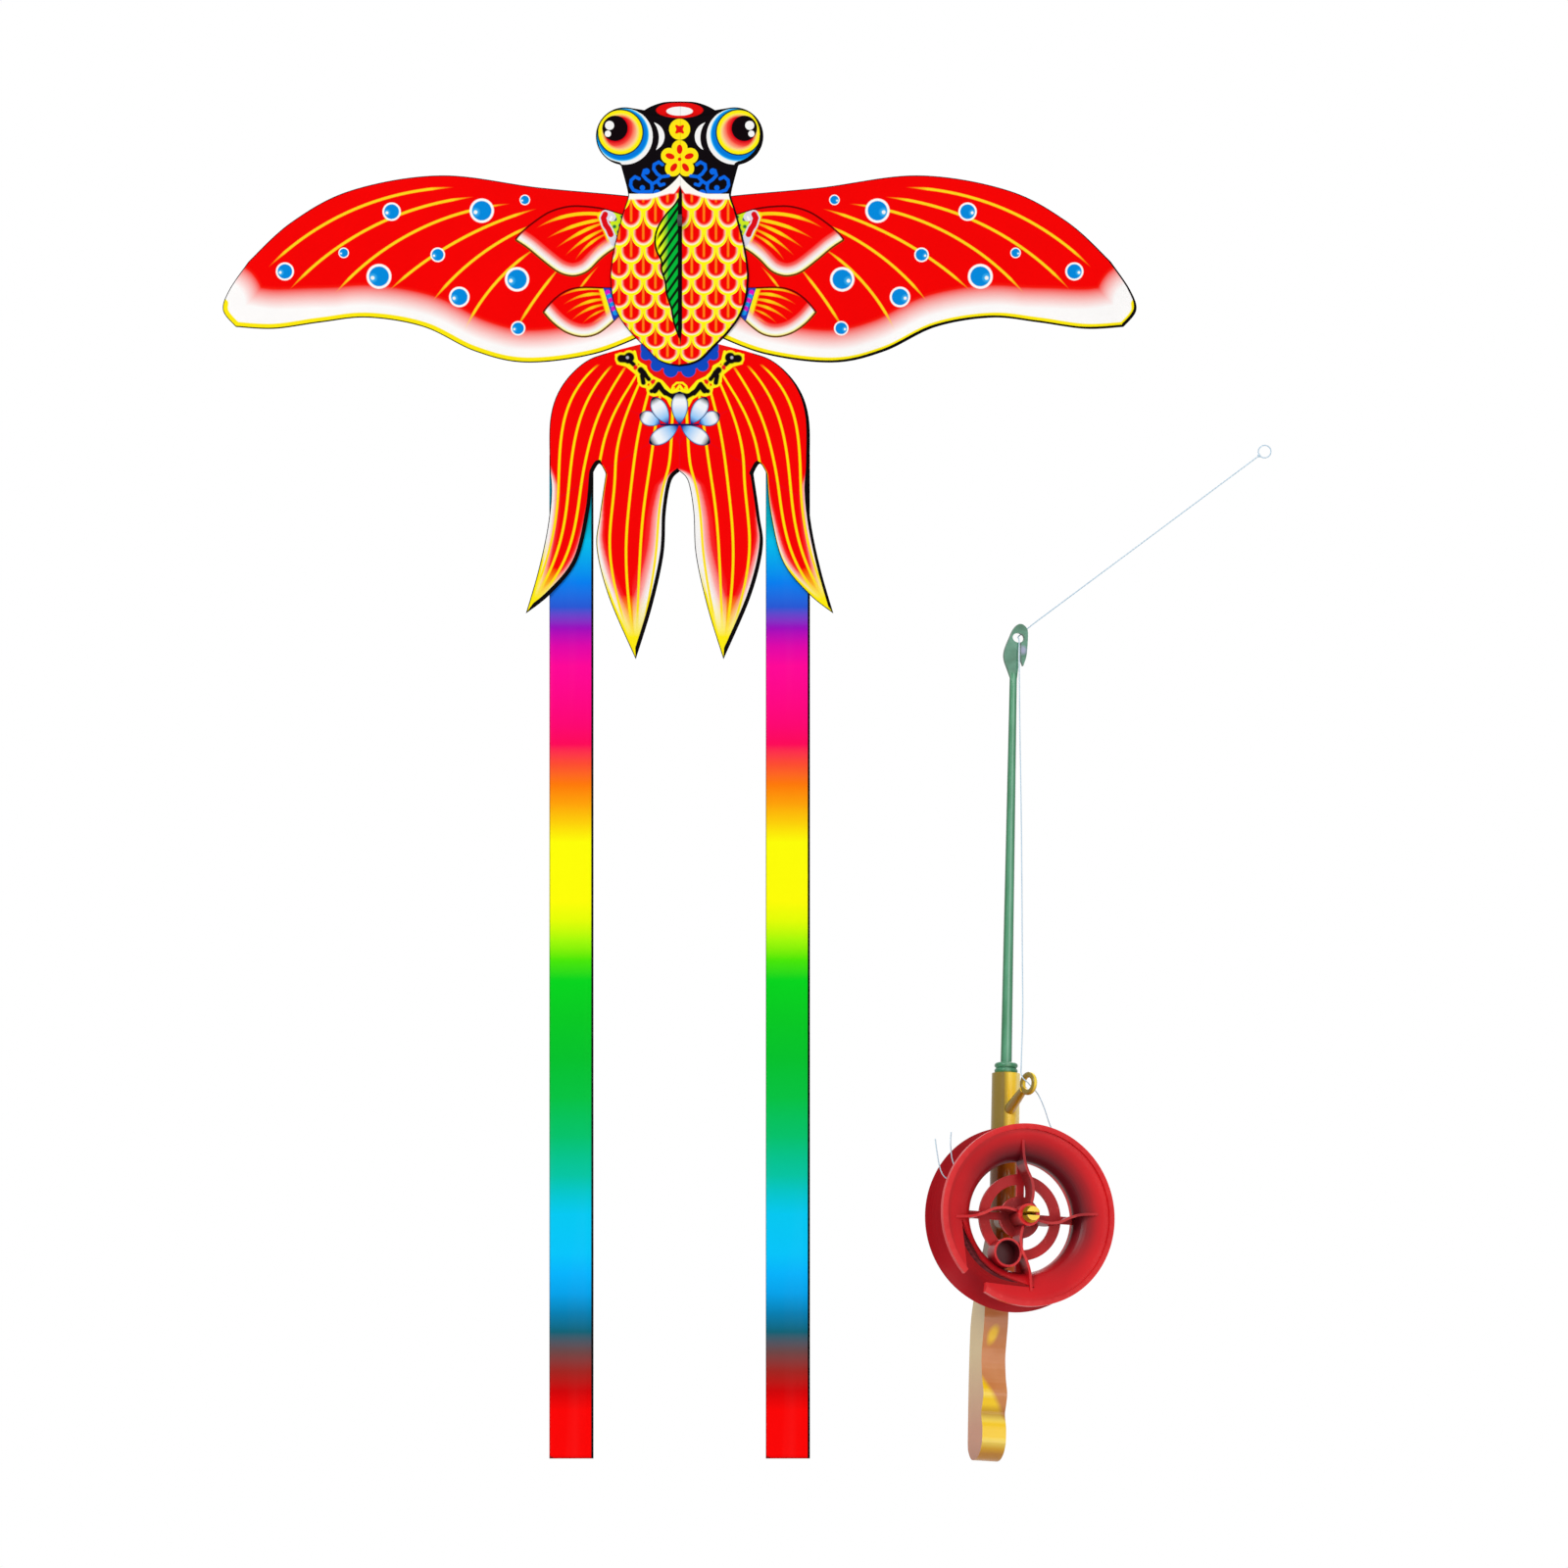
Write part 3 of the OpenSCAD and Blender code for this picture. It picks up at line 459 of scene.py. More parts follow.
def make_piece(name, node, points, faces, body, material, fields=(), facing=None, wall=0.0):
    """A mesh piece from points in millimetres, in the place of a CAD node. Double points are
    merged; an open sheet is turned so that most of it faces the given direction, and a closed
    one faces outwards. wall is the sheet's thickness in millimetres, on the side away from
    that direction."""
    points = np.asarray(points, float).reshape(-1, 3)
    mesh = bpy.data.meshes.new(name)
    mesh.from_pydata((points * MM).tolist(), [], [list(map(int, f)) for f in faces])
    for field, numbers in dict(fields).items():
        made = mesh.attributes.new(field, "FLOAT", "POINT")
        made.data.foreach_set("value", np.asarray(numbers, np.float32).ravel())
    work = bmesh.new()
    work.from_mesh(mesh)
    bmesh.ops.remove_doubles(work, verts=work.verts, dist=1e-6)
    bmesh.ops.dissolve_degenerate(work, edges=work.edges, dist=1e-7)
    if facing is None:
        bmesh.ops.recalc_face_normals(work, faces=work.faces)
    else:
        lean = sum((f.normal * f.calc_area() for f in work.faces), Vector())
        if lean.dot(Vector(facing)) < 0:
            bmesh.ops.reverse_faces(work, faces=work.faces)
    work.to_mesh(mesh)
    work.free()
    mesh.shade_smooth()
    mesh.materials.append(material)
    piece = bpy.data.objects.new(name, mesh)
    bpy.context.scene.collection.objects.link(piece)
    if body:
        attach(piece, body)
    if wall:
        cloth = piece.modifiers.new("thickness", "SOLIDIFY")
        cloth.thickness, cloth.offset, cloth.use_even_offset = wall * MM, -1.0, True
    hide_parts(node)
    print(name, "has", len(mesh.polygons), "faces")
    return piece


print("grid of 3 by 4 points has", len(grid_faces(3, 4)), "faces")


# %% Distances from an outline
def nearest(points, path):
    """Distance of each flat point from a chain of points, and the number of the closest link."""
    far, link = np.full(len(points), 1e9), np.zeros(len(points), int)
    for k, (a, b) in enumerate(zip(path[:-1], path[1:])):
        d = b - a
        t = np.clip(((points - a) @ d) / max(d @ d, 1e-12), 0, 1)
        gap = np.linalg.norm(points - (a + t[:, None] * d), axis=1)
        closer = gap < far
        far[closer], link[closer] = gap[closer], k
    return far, link


def depth_inside(points, outline):
    """Distance from a closed outline, positive inside. A point is inside when a level line
    from it crosses the outline an odd number of times."""
    ring = np.vstack([outline, outline[:1]])
    far, _ = nearest(points, ring)
    inside = np.zeros(len(points), bool)
    for a, b in zip(ring[:-1], ring[1:]):
        spans = (a[1] > points[:, 1]) != (b[1] > points[:, 1])
        x = a[0] + (points[:, 1] - a[1]) * (b[0] - a[0]) / (b[1] - a[1] + 1e-12)
        inside ^= spans & (points[:, 0] < x)
    return np.where(inside, far, -far)


def outline_and_shadow_width(link, path, side, painted_shadow_mm=1.4):
    """Width of the printed outline at the hem, with a painted drop shadow in it: a third of a
    millimetre, and up to the given shadow width more where the hem faces right or down, as if the
    flat print stood off the cloth and cast a shadow there."""
    d = np.diff(path, axis=0)
    d /= np.linalg.norm(d, axis=1)[:, None]
    # How far the hem faces right or down, where the painted shadow widens the outline.
    lean = -d[link, 1] * side * 0.8 - d[link, 0] * 0.6
    return 0.34 + painted_shadow_mm * np.clip(lean, 0, 1)


def rim_fields(flat, hem):
    """What a panel with the same hem on both sides carries: its distance from the hem and the
    printed outline's width, which a painted shadow widens on the right and lower sides. The number
    of the closest link is given beside them."""
    rim, link = nearest(np.c_[abs(flat[:, 0]), flat[:, 1]], hem)
    left, right = (outline_and_shadow_width(link, hem, side) for side in WORD)
    return {"rim_mm": rim, "ink_mm": np.where(flat[:, 0] < 0, left, right)}, link


square = np.array([[0.0, 0.0], [4.0, 0.0], [4.0, 4.0], [0.0, 4.0]])
print("the middle of a square of 4 lies", depth_inside(square[2:3] / 2, square)[0], "deep")

# %% [markdown]
# ## Cloth
#
# All sails are thin woven polyester with a dye print. Two crossed sets of threads, a third of
# a millimetre apart, give the relief; a faint cloudiness breaks up the flat inks, because the
# weave takes dye unevenly. From behind the same print shows through, a little paler.

# %% Weave relief and the look that all printed cloth shares
WEAVE_PITCH = 0.36


def weave(finish):
    """Relief of a plain weave: waves across and along, one set over the other."""
    x, _, z = finish.place()
    across, along = ((k * (math.tau / WEAVE_PITCH)).math("SINE") for k in (x, z))
    return finish.bump((across * along).ramp(-1.0, 1.0), 0.35, 0.03)


def printed_cloth(finish, colour):
    """Base colour from the print, cloudy dye, the weave's relief and hardly any gloss."""
    cloud = finish.noise(0.05, 4.0).ramp(0.35, 0.75)
    colour = finish.lay(colour, ink(40, 0, 0), cloud * 0.04)
    facing = finish.node("NewGeometry", output="Normal")
    back = finish.node("SeparateXYZ", None, (facing,), 1).ramp(0.2, 0.4)
    colour = finish.lay(colour, ink(255, 236, 230), back * 0.22)
    relief = weave(finish)
    wrinkle = finish.bump(finish.noise(0.035, 2.0, (1.0, 1.0, 0.6)), 0.22, 0.7, relief)
    rough = finish.noise(0.8, 2.0) * 0.12 + 0.62
    return finish.surface(colour, rough, wrinkle, Specular_IOR_Level=0.03)


RED, WHITE, YELLOW = ink(247, 0, 0), ink(248, 247, 246), ink(255, 235, 10)
BLACK, BLUE = ink(8, 6, 8), ink(0, 138, 222)
print("weave pitch", WEAVE_PITCH, "mm")

# %% [markdown]
# ## Wings
#
# Each wing is one cut of cloth that hangs from a bent rod along its top. Every upright line
# of cloth runs from the top outline to the bottom outline, so the panel is a ruled surface:
# v goes from top to bottom, u from the root to the tip. Wind pushes the middle back a little.

# %% The wing's outline, in shares of its span and depth
WING_SPAN, WING_CREST, WING_CHORD, WING_ROOT = 373.0, 18.4, 76.4, 12.0
WING_TOP = [[0, 0.14], [0.05, 0.11], [0.26, 0.065], [0.49, 0], [0.70, 0.08], [0.84, 0.25],
            [0.94, 0.46]]
WING_TIP = [[0.94, 0.46], [0.985, 0.61], [1, 0.72], [0.97, 0.81]]
WING_LOW = [[0.97, 0.81], [0.88, 0.82], [0.77, 0.785], [0.66, 0.76], [0.53, 0.81],
            [0.41, 0.94], [0.29, 1], [0.13, 0.955], [0, 0.84]]
PANEL_Y, CLOTH = 2.6, 0.3
BEHIND_BODY_Y, SAIL_WALL = PANEL_Y + CLOTH + 0.02, 0.22


def wing_mm(points):
    """Shares to millimetres: out from the root, and down from the crest."""
    out, down = np.asarray(points, float).T
    return np.c_[WING_ROOT + out * (WING_SPAN / 2 - WING_ROOT), WING_CREST - down * WING_CHORD]


def joined(parts, steps):
    """One chain of points along smooth parts, where each part ends at the start of the next."""
    smooth = [curve(part, steps) for part in parts]
    return np.vstack([*(part[:-1] for part in smooth[:-1]), smooth[-1]])


wing_hem = joined([wing_mm(WING_TOP), wing_mm(WING_TIP), wing_mm(WING_LOW)], 12)
wing_low_hem = joined([wing_mm(WING_TIP), wing_mm(WING_LOW)], 12)[20:]
PECTORAL_TOP = [[20, 2], [24, 2.9], [31.6, 5.2], [40.8, 6.2], [46.8, 5.8], [53.6, 3.6],
                [60, -0.6], [64.8, -4.6], [67.6, -8]]
PECTORAL_LOW = [[67.6, -8], [62.4, -11.4], [56.4, -16.4], [50, -21.2], [45, -22.9],
                [41, -22.6], [36.8, -20.6], [32, -15.8], [26.8, -12], [20, -9]]
PELVIC_TOP = [[22, -26.8], [29, -27.2], [40.4, -27], [46.8, -28.6], [52, -32.4], [56.2, -37.4]]
PELVIC_LOW = [[56.2, -37.4], [52, -42], [46.4, -46], [40, -47.8], [34, -46.8], [29, -43.4],
              [24, -38.6]]
SMALL_FINS = {"pectoral": (PECTORAL_TOP, PECTORAL_LOW), "pelvic": (PELVIC_TOP, PELVIC_LOW)}
print("wing hem:", len(wing_hem), "points")


# %% The wing panels, with what the print needs to know at each point
def wing_panel(side):
    """Point (u, v): x runs out from the root, closer together near the tip; z runs from the
    top hem to the bottom hem; y is the cloth's depth plus a billow that grows downwards."""
    tip = int(np.argmax(wing_hem[:, 0]))
    upper, lower = wing_hem[:tip + 1], wing_hem[tip:][::-1]
    u, v = np.meshgrid(np.linspace(0, 1, 216), np.linspace(0, 1, 92), indexing="ij")
    reach = wing_hem[tip, 0] - WING_ROOT
    x = WING_ROOT + reach * (1 - (1 - u) ** 1.7)
    top, low = np.interp(x, *upper.T), np.interp(x, *lower.T)
    z = top + v * (low - top)
    s = (x - WING_ROOT) / reach
    y = (BEHIND_BODY_Y + 2.0 * np.sin(math.pi * s) * v**1.4
         + 0.25 * np.sin(5.5 * math.tau * s) * v**3 * s * (1 - s) * 4)
    flat = np.stack([x, z], -1).reshape(-1, 2)
    rim, link = nearest(flat, wing_hem)
    # The outline widens on the right and lower sides into a painted drop shadow, more on the right
    # wing than on the left.
    fields = {
        "rim_mm": rim,
        "ink_mm": outline_and_shadow_width(link, wing_hem, side, 0.3 if side < 0 else 1.0),
        "low_mm": nearest(flat, wing_low_hem)[0],
    }
    for fin, (above, below) in SMALL_FINS.items():
        fields[fin + "_mm"] = depth_inside(flat, joined([above, below], 8))
        fields[fin + "_low_mm"] = nearest(flat, curve(below, 8))[0]
    return make_piece("wing_sail_" + WORD[side], "wing_panel_" + WORD[side],
                      np.stack([side * x, y, z], -1), grid_faces(*u.shape),
                      "kite", wing_cloth, fields, facing=(0, -1, 0), wall=SAIL_WALL)

# %% [markdown]
# ### The wing's print
#
# Red ground, a white band along the free edge with a yellow rim, yellow fin rays that are
# parts of circles, blue spots in white rings, and two smaller fins with their own rays. Both
# wings share one material, because it works with the distance from the middle, left or right.


# %% Lines and bars as masks
def circle_through(a, b, c):
    """Centre and radius of the circle through three points: the centre is as far from each."""
    a, b, c = (np.array(p, float) for p in (a, b, c))
    sides = np.array([b - a, c - a])
    centre = np.linalg.solve(2 * sides, [b @ b - a @ a, c @ c - a @ a])
    return centre, float(np.linalg.norm(a - centre))


def arc(f, point, a, b, c, width, fade=8.0):
    """Mask of a line that is part of the circle through three points. It thins out and fades
    towards both ends, because its half length is measured from the middle point."""
    centre, radius = circle_through(a, b, c)
    half = max(math.dist(a, b), math.dist(b, c))
    near = f.far(point, b).ramp(half, half - fade)
    off = abs(f.far(point, centre) - radius)
    return f.within(off - near * (width / 2), 0.0, 0.35) * near


def fan(f, point, rays, width, fade):
    """All the rays of one kind, each a part of its own circle."""
    return any_of(arc(f, point, *places, width, fade) for places in rays)


def bar_mask(f, point, a, b, radius, soft=0.2):
    """Mask of a bar with round ends from a to b: the distance to the closest place on it."""
    length = math.dist(a, b)
    way = ((b[0] - a[0]) / length, (b[1] - a[1]) / length)
    along = f.along(point, a, way)
    over = along - along.most(0.0).least(length)
    across = f.along(point, a, (-way[1], way[0]))
    off = (over * over + across * across).math("SQRT")
    return f.within(off, radius, soft)


def chain(f, point, places, radius, soft=0.2):
    """Mask of a bent line of bars."""
    return any_of(bar_mask(f, point, a, b, radius, soft) for a, b in zip(places, places[1:]))


middle_of, across = circle_through((0, 0), (1, 1), (2, 0))
print("a circle through three points:", middle_of, "and radius", across)

# %% The wing's rays and spots
WING_RAYS = [  # start, middle and end of each ray, out from the middle and up
    [(98.0, 13.2), (133.2, 4.4), (168.0, -19.2)], [(84.0, 9.6), (125.2, -2.4), (154.8, -23.6)],
    [(69.2, 6.8), (108.8, -4.8), (138.0, -26.8)], [(58.4, 4.8), (90.8, -8.4), (117.6, -27.6)],
    [(64.0, -3.6), (81.8, -14.3), (101.4, -33.5)], [(58.0, -10.8), (75.6, -26.0), (85.2, -39.6)],
    [(48.0, -18.0), (58.4, -31.2), (65.0, -41.2)], [(33.0, -18.5), (38.4, -24.6), (43.0, -31.0)],
]
WING_SPOTS = [
    (161.2, -20.8, 3.8), (117.6, 3.6, 3.85), (137.2, -13.2, 2.2), (122.8, -22.8, 5.2),
    (98.8, -14.0, 3.05), (80.8, 4.0, 5.1), (90.0, -31.2, 4.3), (66.4, -24.0, 5.1),
    (63.2, 8.4, 2.2), (66.0, -44.0, 3.05),
]
print(len(WING_RAYS), "rays and", len(WING_SPOTS), "spots on each wing")

# %% A small fin with its own rays
PECTORAL_RAYS = [
    [(34.1, 2.7), (40.5, 2.7), (58.6, -3.2)], [(34.1, 0.0), (40.0, -1.3), (54.4, -7.4)],
    [(33.1, -1.7), (39.2, -4.3), (50.4, -11.2)], [(31.8, -4.0), (37.5, -7.0), (46.8, -14.4)],
    [(31.1, -6.0), (36.0, -9.0), (42.8, -16.4)], [(29.1, -8.0), (33.0, -11.0), (37.6, -16.2)],
]
PELVIC_RAYS = [
    [(31.2, -27.9), (37.0, -27.6), (49.6, -31.4)], [(32.0, -30.0), (37.0, -30.2), (47.6, -34.4)],
    [(31.4, -32.2), (36.5, -33.0), (46.4, -38.0)], [(31.4, -34.4), (35.8, -35.6), (44.4, -41.0)],
    [(30.4, -36.4), (34.0, -37.8), (39.8, -42.2)], [(29.4, -38.6), (32.4, -40.1), (36.8, -43.2)],
]


def small_fin(f, point, under, name, rays, base):
    """A printed fin: red with bowed yellow rays from a yellow base, a pale band along the low
    edge, and a dark outline. base is a line that the yellow follows."""
    inside, low = f.field(name + "_mm"), f.field(name + "_low_mm")
    colour = f.coats(RED,
        ((255, 214, 20), fan(f, point, rays, 1.35, 11.0)),
        ((255, 236, 20), bar_mask(f, point, *base, 1.5, 0.8)),
        ((255, 150, 140), low.ramp(5.8, 3.4) * 0.8),
        ((248, 246, 244), low.ramp(4.4, 2.2)),
        ((255, 250, 150), low.ramp(1.8, 0.9)),
        ((110, 0, 0), f.within(inside, 0.75, 0.4)),
        ((96, 70, 0), f.within(inside, 0.5, 0.3) * f.within(low, 0.6, 0.3)))
    return f.lay(under, colour, f.within(-inside, 0.0, 0.1))


print(len(PECTORAL_RAYS), "rays on each small fin")


# %% Where the small fins meet the body
def wing_roots(f, point, colour):
    """Where the small fins meet the body: a red curl edged in white beside a speckled green
    patch, and below it a string of blue and magenta beads."""
    fin = f.within(-f.field("pectoral_mm"), -0.5, 0.1)
    curl = [(28.4, 0.2), (27.8, 1.4), (29.0, 2.7), (30.4, 2.5), (31.1, 1.0), (30.3, -1.7),
            (29.1, -3.4), (28.1, -5.7)]
    rim = chain(f, point, [*curl[1:], (26.5, -8.8)], 1.75)
    patch = bar_mask(f, point, (25.0, 1.4), (26.2, -6.0), 2.9) * fin
    colour = f.lay(colour, ink(206, 236, 30), patch)
    for centre, shade in (((23.5, 1.5), ink(0, 110, 70)), ((26.4, 0.5), ink(16, 40, 130)),
                          ((24.2, -2.0), ink(16, 40, 130)), ((26.6, -2.5), ink(0, 120, 60)),
                          ((24.9, -4.7), ink(16, 40, 130)), ((25.6, -6.8), ink(0, 90, 60))):
        colour = f.lay(colour, shade, f.within(f.far(point, centre), 0.75, 0.6) * fin)
    colour = f.coats(colour,
        ((222, 218, 232), rim * fin),
        ((222, 8, 22), chain(f, point, curl[3:], 1.15) * fin),
        (WHITE, chain(f, point, curl[:2], 0.45) * fin))
    fin = f.within(-f.field("pelvic_mm"), -0.4, 0.1)
    string = bar_mask(f, point, (29.3, -27.0), (25.4, -39.6), 2.0)
    colour = f.lay(colour, ink(24, 60, 185), string * fin)
    for k in range(6):
        place = (29.35 - 0.62 * k, -29.4 - 1.65 * k)
        shade = ink(20, 150, 240) if k % 2 else ink(226, 20, 196)
        colour = f.lay(colour, shade, f.within(f.far(point, place), 1.1, 0.5) * fin)
    return colour


print("a curl, a speckled patch and a string of beads at each root")


# %% The whole wing
def wing_print():
    f = Finish("wing_print")
    x, _, z = f.place()
    side = abs(x)
    point = f.point(side, z)
    low, rim = f.field("low_mm"), f.field("rim_mm")
    reach = 14.5 + side.ramp(140.0, 175.0) * 4.0
    fade = (reach - low) / 9.5
    colour = f.coats(RED,
        ((255, 92, 60), fade.math("MULTIPLY", 1.0, clamp=True) * 0.75),
        ((255, 253, 252), fade.ramp(0.12, 1.0)),
        ((255, 214, 30), fan(f, point, WING_RAYS, 1.1, 9.0)))
    ring, notch = (functools.reduce(Value.least, [
        f.far(point, (a + right * r, b - down * r)) / r for a, b, r in WING_SPOTS])
        for right, down in ((0.0, 0.0), (0.5, 0.12)))
    colour = f.coats(colour,
        ((255, 253, 252), f.within(ring, 0.97, 0.08)),
        (BLUE, f.within(ring, 0.78, 0.07)),
        ((60, 178, 240), notch.ramp(0.42, 0.2) * f.within(ring, 0.75, 0.06)),
        (WHITE, f.within(notch, 0.15, 0.06) * f.within(ring, 0.8, 0.05)))
    colour = small_fin(f, point, colour, "pelvic", PELVIC_RAYS, ((31.4, -28.0), (28.0, -39.6)))
    colour = small_fin(f, point, colour, "pectoral", PECTORAL_RAYS, ((32.0, 2.0), (28.0, -8.2)))
    colour = wing_roots(f, point, colour)
    # The yellow rim along the free edge, then the black outline with its painted drop shadow on the
    # right and lower sides.
    colour = f.coats(colour,
        (YELLOW, f.within(low, 2.1, 0.35) * f.within(rim, 2.4, 0.3)),
        (BLACK, f.within(rim - f.field("ink_mm"), 0.0, 0.15)))
    return printed_cloth(f, colour)


wing_cloth = wing_print()
wings = [wing_panel(side) for side in WORD]

# %% [markdown]
# ## Body
#
# Head and body are one piece of cloth on top of the wings. Its rows run from the middle line
# out to the outline on both sides, so the round eyes and the waist come out of the outline
# alone. The middle line goes down steadily, though the outline rises again over each eye.

# %% The body's outline in millimetres
NECK_TOP, NECK_HALF, BODY_HALF, BODY_DROP = 24.0, 21.2, 28.2, 59.6
EYE_OUT, EYE_UP, EYE_R, CROWN_TOP = 22.4, 34.4, 11.8, 48.6


def evenly(path, count):
    """Points at equal steps along a path."""
    at = np.r_[0, np.cumsum(np.linalg.norm(np.diff(path, axis=0), axis=1))]
    wanted = at[-1] * np.linspace(0, 1, count)
    return np.stack([np.interp(wanted, at, path[:, k]) for k in range(path.shape[1])], -1)


def body_outline():
    """The right half from the crown down: brow, an arc round the eye, neck, belly, end."""
    turns = np.radians(np.arange(124, -81, -6))
    eye = np.c_[EYE_OUT + EYE_R * np.cos(turns), EYE_UP + EYE_R * np.sin(turns)]
    brow = curve([[0, CROWN_TOP], [0.28 * EYE_OUT, CROWN_TOP - 0.3],
                  [0.52 * EYE_OUT, CROWN_TOP - 2], eye[0]], 8)[:-1]
    length = NECK_TOP + BODY_DROP
    neck = [(1.13, 0.02), (1.075, 0.07), (1.0, 0.145), (1.0, 0.18)]
    flank = [(0.82, 0.25), (0.94, 0.405), (0.995, 0.52)]
    belly = [(1.0, 0.415), (0.965, 0.55), (0.865, 0.67), (0.69, 0.78), (0.5, 0.87),
             (0.33, 0.95), (0.18, 0.985), (0, 1)]
    trunk = curve([[a * NECK_HALF, NECK_TOP - b * length] for a, b in neck]
                  + [[a * BODY_HALF, NECK_TOP - b * length] for a, b in flank]
                  + [[a * BODY_HALF, -b * BODY_DROP] for a, b in belly], 9)
    return np.vstack([brow, eye, trunk])


body_hem = evenly(body_outline(), 250)
DORSAL = [[0, 10.2], [-2.4, 6.4], [-6, 2.4], [-9.2, -2.8], [-10.4, -7.6], [-9.8, -12.4],
          [-7.8, -16.4], [-7.7, -20.4], [-6.2, -25.2], [-5.6, -30], [-3.6, -36.4],
          [-2.8, -41.2], [-1.2, -46], [0, -48.8]]
print("body hem:", len(body_hem), "points down one side, from", body_hem[0], "to", body_hem[-1])


# %% The body panel
def body_panel():
    """Point (t, s): x = s X(t); z goes from the middle line at s = 0 to the outline at
    s = 1 and -1; y stands a little forward in the middle, as cloth does over a rod."""
    z_mid = np.minimum.accumulate(body_hem[:, 1])
    z_mid = 0.85 * z_mid + 0.15 * np.linspace(CROWN_TOP, -BODY_DROP, len(z_mid))
    s = np.linspace(-1, 1, 97)
    x = body_hem[:, :1] * s
    z = z_mid[:, None] + (body_hem[:, 1:] - z_mid[:, None]) * abs(s)
    y = PANEL_Y - 0.35 * (1 - s**2) * np.clip(body_hem[:, :1] / 20, 0, 1) + 0 * z
    flat = np.stack([x, z], -1).reshape(-1, 2)
    fields, _ = rim_fields(flat, body_hem)
    fields["dorsal_mm"] = depth_inside(flat, curve(DORSAL, 8))
    return make_piece("body_sail", "body_panel", np.stack([x, y, z], -1), grid_faces(*x.shape),
                      "kite", body_cloth, fields, facing=(0, -1, 0), wall=0.24)

# %% [markdown]
# ### The body's print
#
# A common goldfish pattern: a black hood with two round telescope eyes, a coin, a plum
# blossom and cloud scrolls, then rows of scales below a pale neck band. Scales are a
# rule, not a drawing: each row hangs over the next, half a scale aside.


# %% Simple marks
def disc(f, point, centre, radius, soft=0.15):
    """A round mark."""
    return f.within(f.far(point, centre), radius, soft)


def oval(f, x, z, centre, radii, lean=0.0, soft=0.06):
    """Mask of an ellipse: its radii stretch to 1 after the point is turned by lean."""
    c, s = math.cos(math.radians(lean)), math.sin(math.radians(lean))
    dx, dz = x - centre[0], z - centre[1]
    a, b = (dx * c + dz * s) / radii[0], (dz * c - dx * s) / radii[1]
    return f.within((a * a + b * b).math("SQRT"), 1.0, soft)


def pick(f, mask, when_0, when_1):
    """The second number where the mask is 1, the first where it is 0."""
    return f.node("Mix", {"data_type": "FLOAT"}, {0: mask, 2: when_0, 3: when_1}, 0)


# %% The scales
def scales(f, x, z, width=9.9):
    """Row number v grows downwards, a little faster and faster, so the rows get lower. A scale
    is a half ellipse with short upright sides: its edge lies where p^2 + q^2 = 1, p across and q
    down from its middle. Below the edge the next row shows, half a scale aside."""
    down = 3.09 - z
    below = down.most(0.0)
    v = down * 0.1256 + below * below * 0.000596
    row, share = v.math("FLOOR"), v.math("FRACT")
    u = x / width + (row * 0.5).math("FRACT") + 0.5
    here, beside = abs(u.math("FRACT") - 0.5), abs((u + 0.5).math("FRACT") - 0.5)
    p, q = here * 2.0, ((share - 0.1) / 0.82).most(0.0)
    inner = 1.0 - (p * p + q * q).math("SQRT")
    over = f.within(inner, 0.0, 0.02)
    edge = pick(f, over, inner, 1.0 - beside * 2.0) * (width / 2)
    aside = pick(f, over, here, beside) * width
    upper = pick(f, over, share, share - 1.0).ramp(0.55, 0.2)
    tick = f.within(aside, 0.45, 0.4) * upper.ramp(0.0, 0.5) * edge.ramp(2.2, 3.0)
    return f.coats(RED,
        ((255, 128, 20), tick),
        ((255, 110, 100), edge.ramp(2.3, 1.6) * (1.0 - upper * 0.5)),
        ((255, 240, 220), edge.ramp(1.9, 1.2) * (1.0 - upper * 0.5)),
        ((255, 248, 10), edge.ramp(1.3, 0.8)))


# %% A telescope eye
def eye(f, point, colour):
    """A telescope eye: white disc, blue shadow, dark ring, yellow to red iris, pupil."""
    from_pupil = f.far(point, (26.4, 37.6))
    ring = f.far(point, (24.2, 36.0))
    colour = f.lay(colour, WHITE, disc(f, point, (22.5, 34.3), 11.5))
    shade = f.far(point, (23.4, 35.1))
    colour = f.coats(colour,
        ((190, 248, 255), shade.ramp(11.3, 10.7)),
        ((0, 172, 245), shade.ramp(11.0, 10.5)),
        ((0, 122, 222), shade.ramp(10.7, 9.8)),
        ((0, 44, 44), f.within(ring, 9.5, 0.3)))
    iris = f.coats(ink(224, 4, 22),
        ((250, 74, 62), from_pupil.ramp(5.6, 7.2)),
        ((255, 196, 150), from_pupil.ramp(7.0, 9.4)),
        ((255, 226, 130), ring.ramp(6.2, 7.6)),
        ((255, 240, 10), ring.ramp(6.9, 8.0)))
    colour = f.coats(colour,
        (iris, f.within(ring, 9.0, 0.2)),
        ((10, 2, 6), f.within(from_pupil, 5.2, 0.2)))
    glint = disc(f, point, (28.6, 38.8), 1.85).most(disc(f, point, (29.3, 35.4), 1.3))
    return f.lay(colour, WHITE, glint)


# %% A plum blossom
def blossom(f, x, z, point, colour, centre):
    """A plum blossom: five round petals, each with a red oval, round a red dot."""
    turned = [90 + 72 * k for k in range(5)]

    def out(angle, reach):
        lean = math.radians(angle)
        return centre[0] + reach * math.cos(lean), centre[1] + reach * math.sin(lean)

    petals = any_of([*(disc(f, point, out(a, 4.6), 3.25, 0.2) for a in turned),
                     disc(f, point, centre, 2.6)])
    hearts = any_of(oval(f, x, z, out(a, 4.1), (1.9, 1.15), a) for a in turned)
    return f.coats(colour,
        ((255, 232, 20), petals),
        ((235, 20, 10), hearts),
        ((235, 20, 10), disc(f, point, centre, 0.75)))

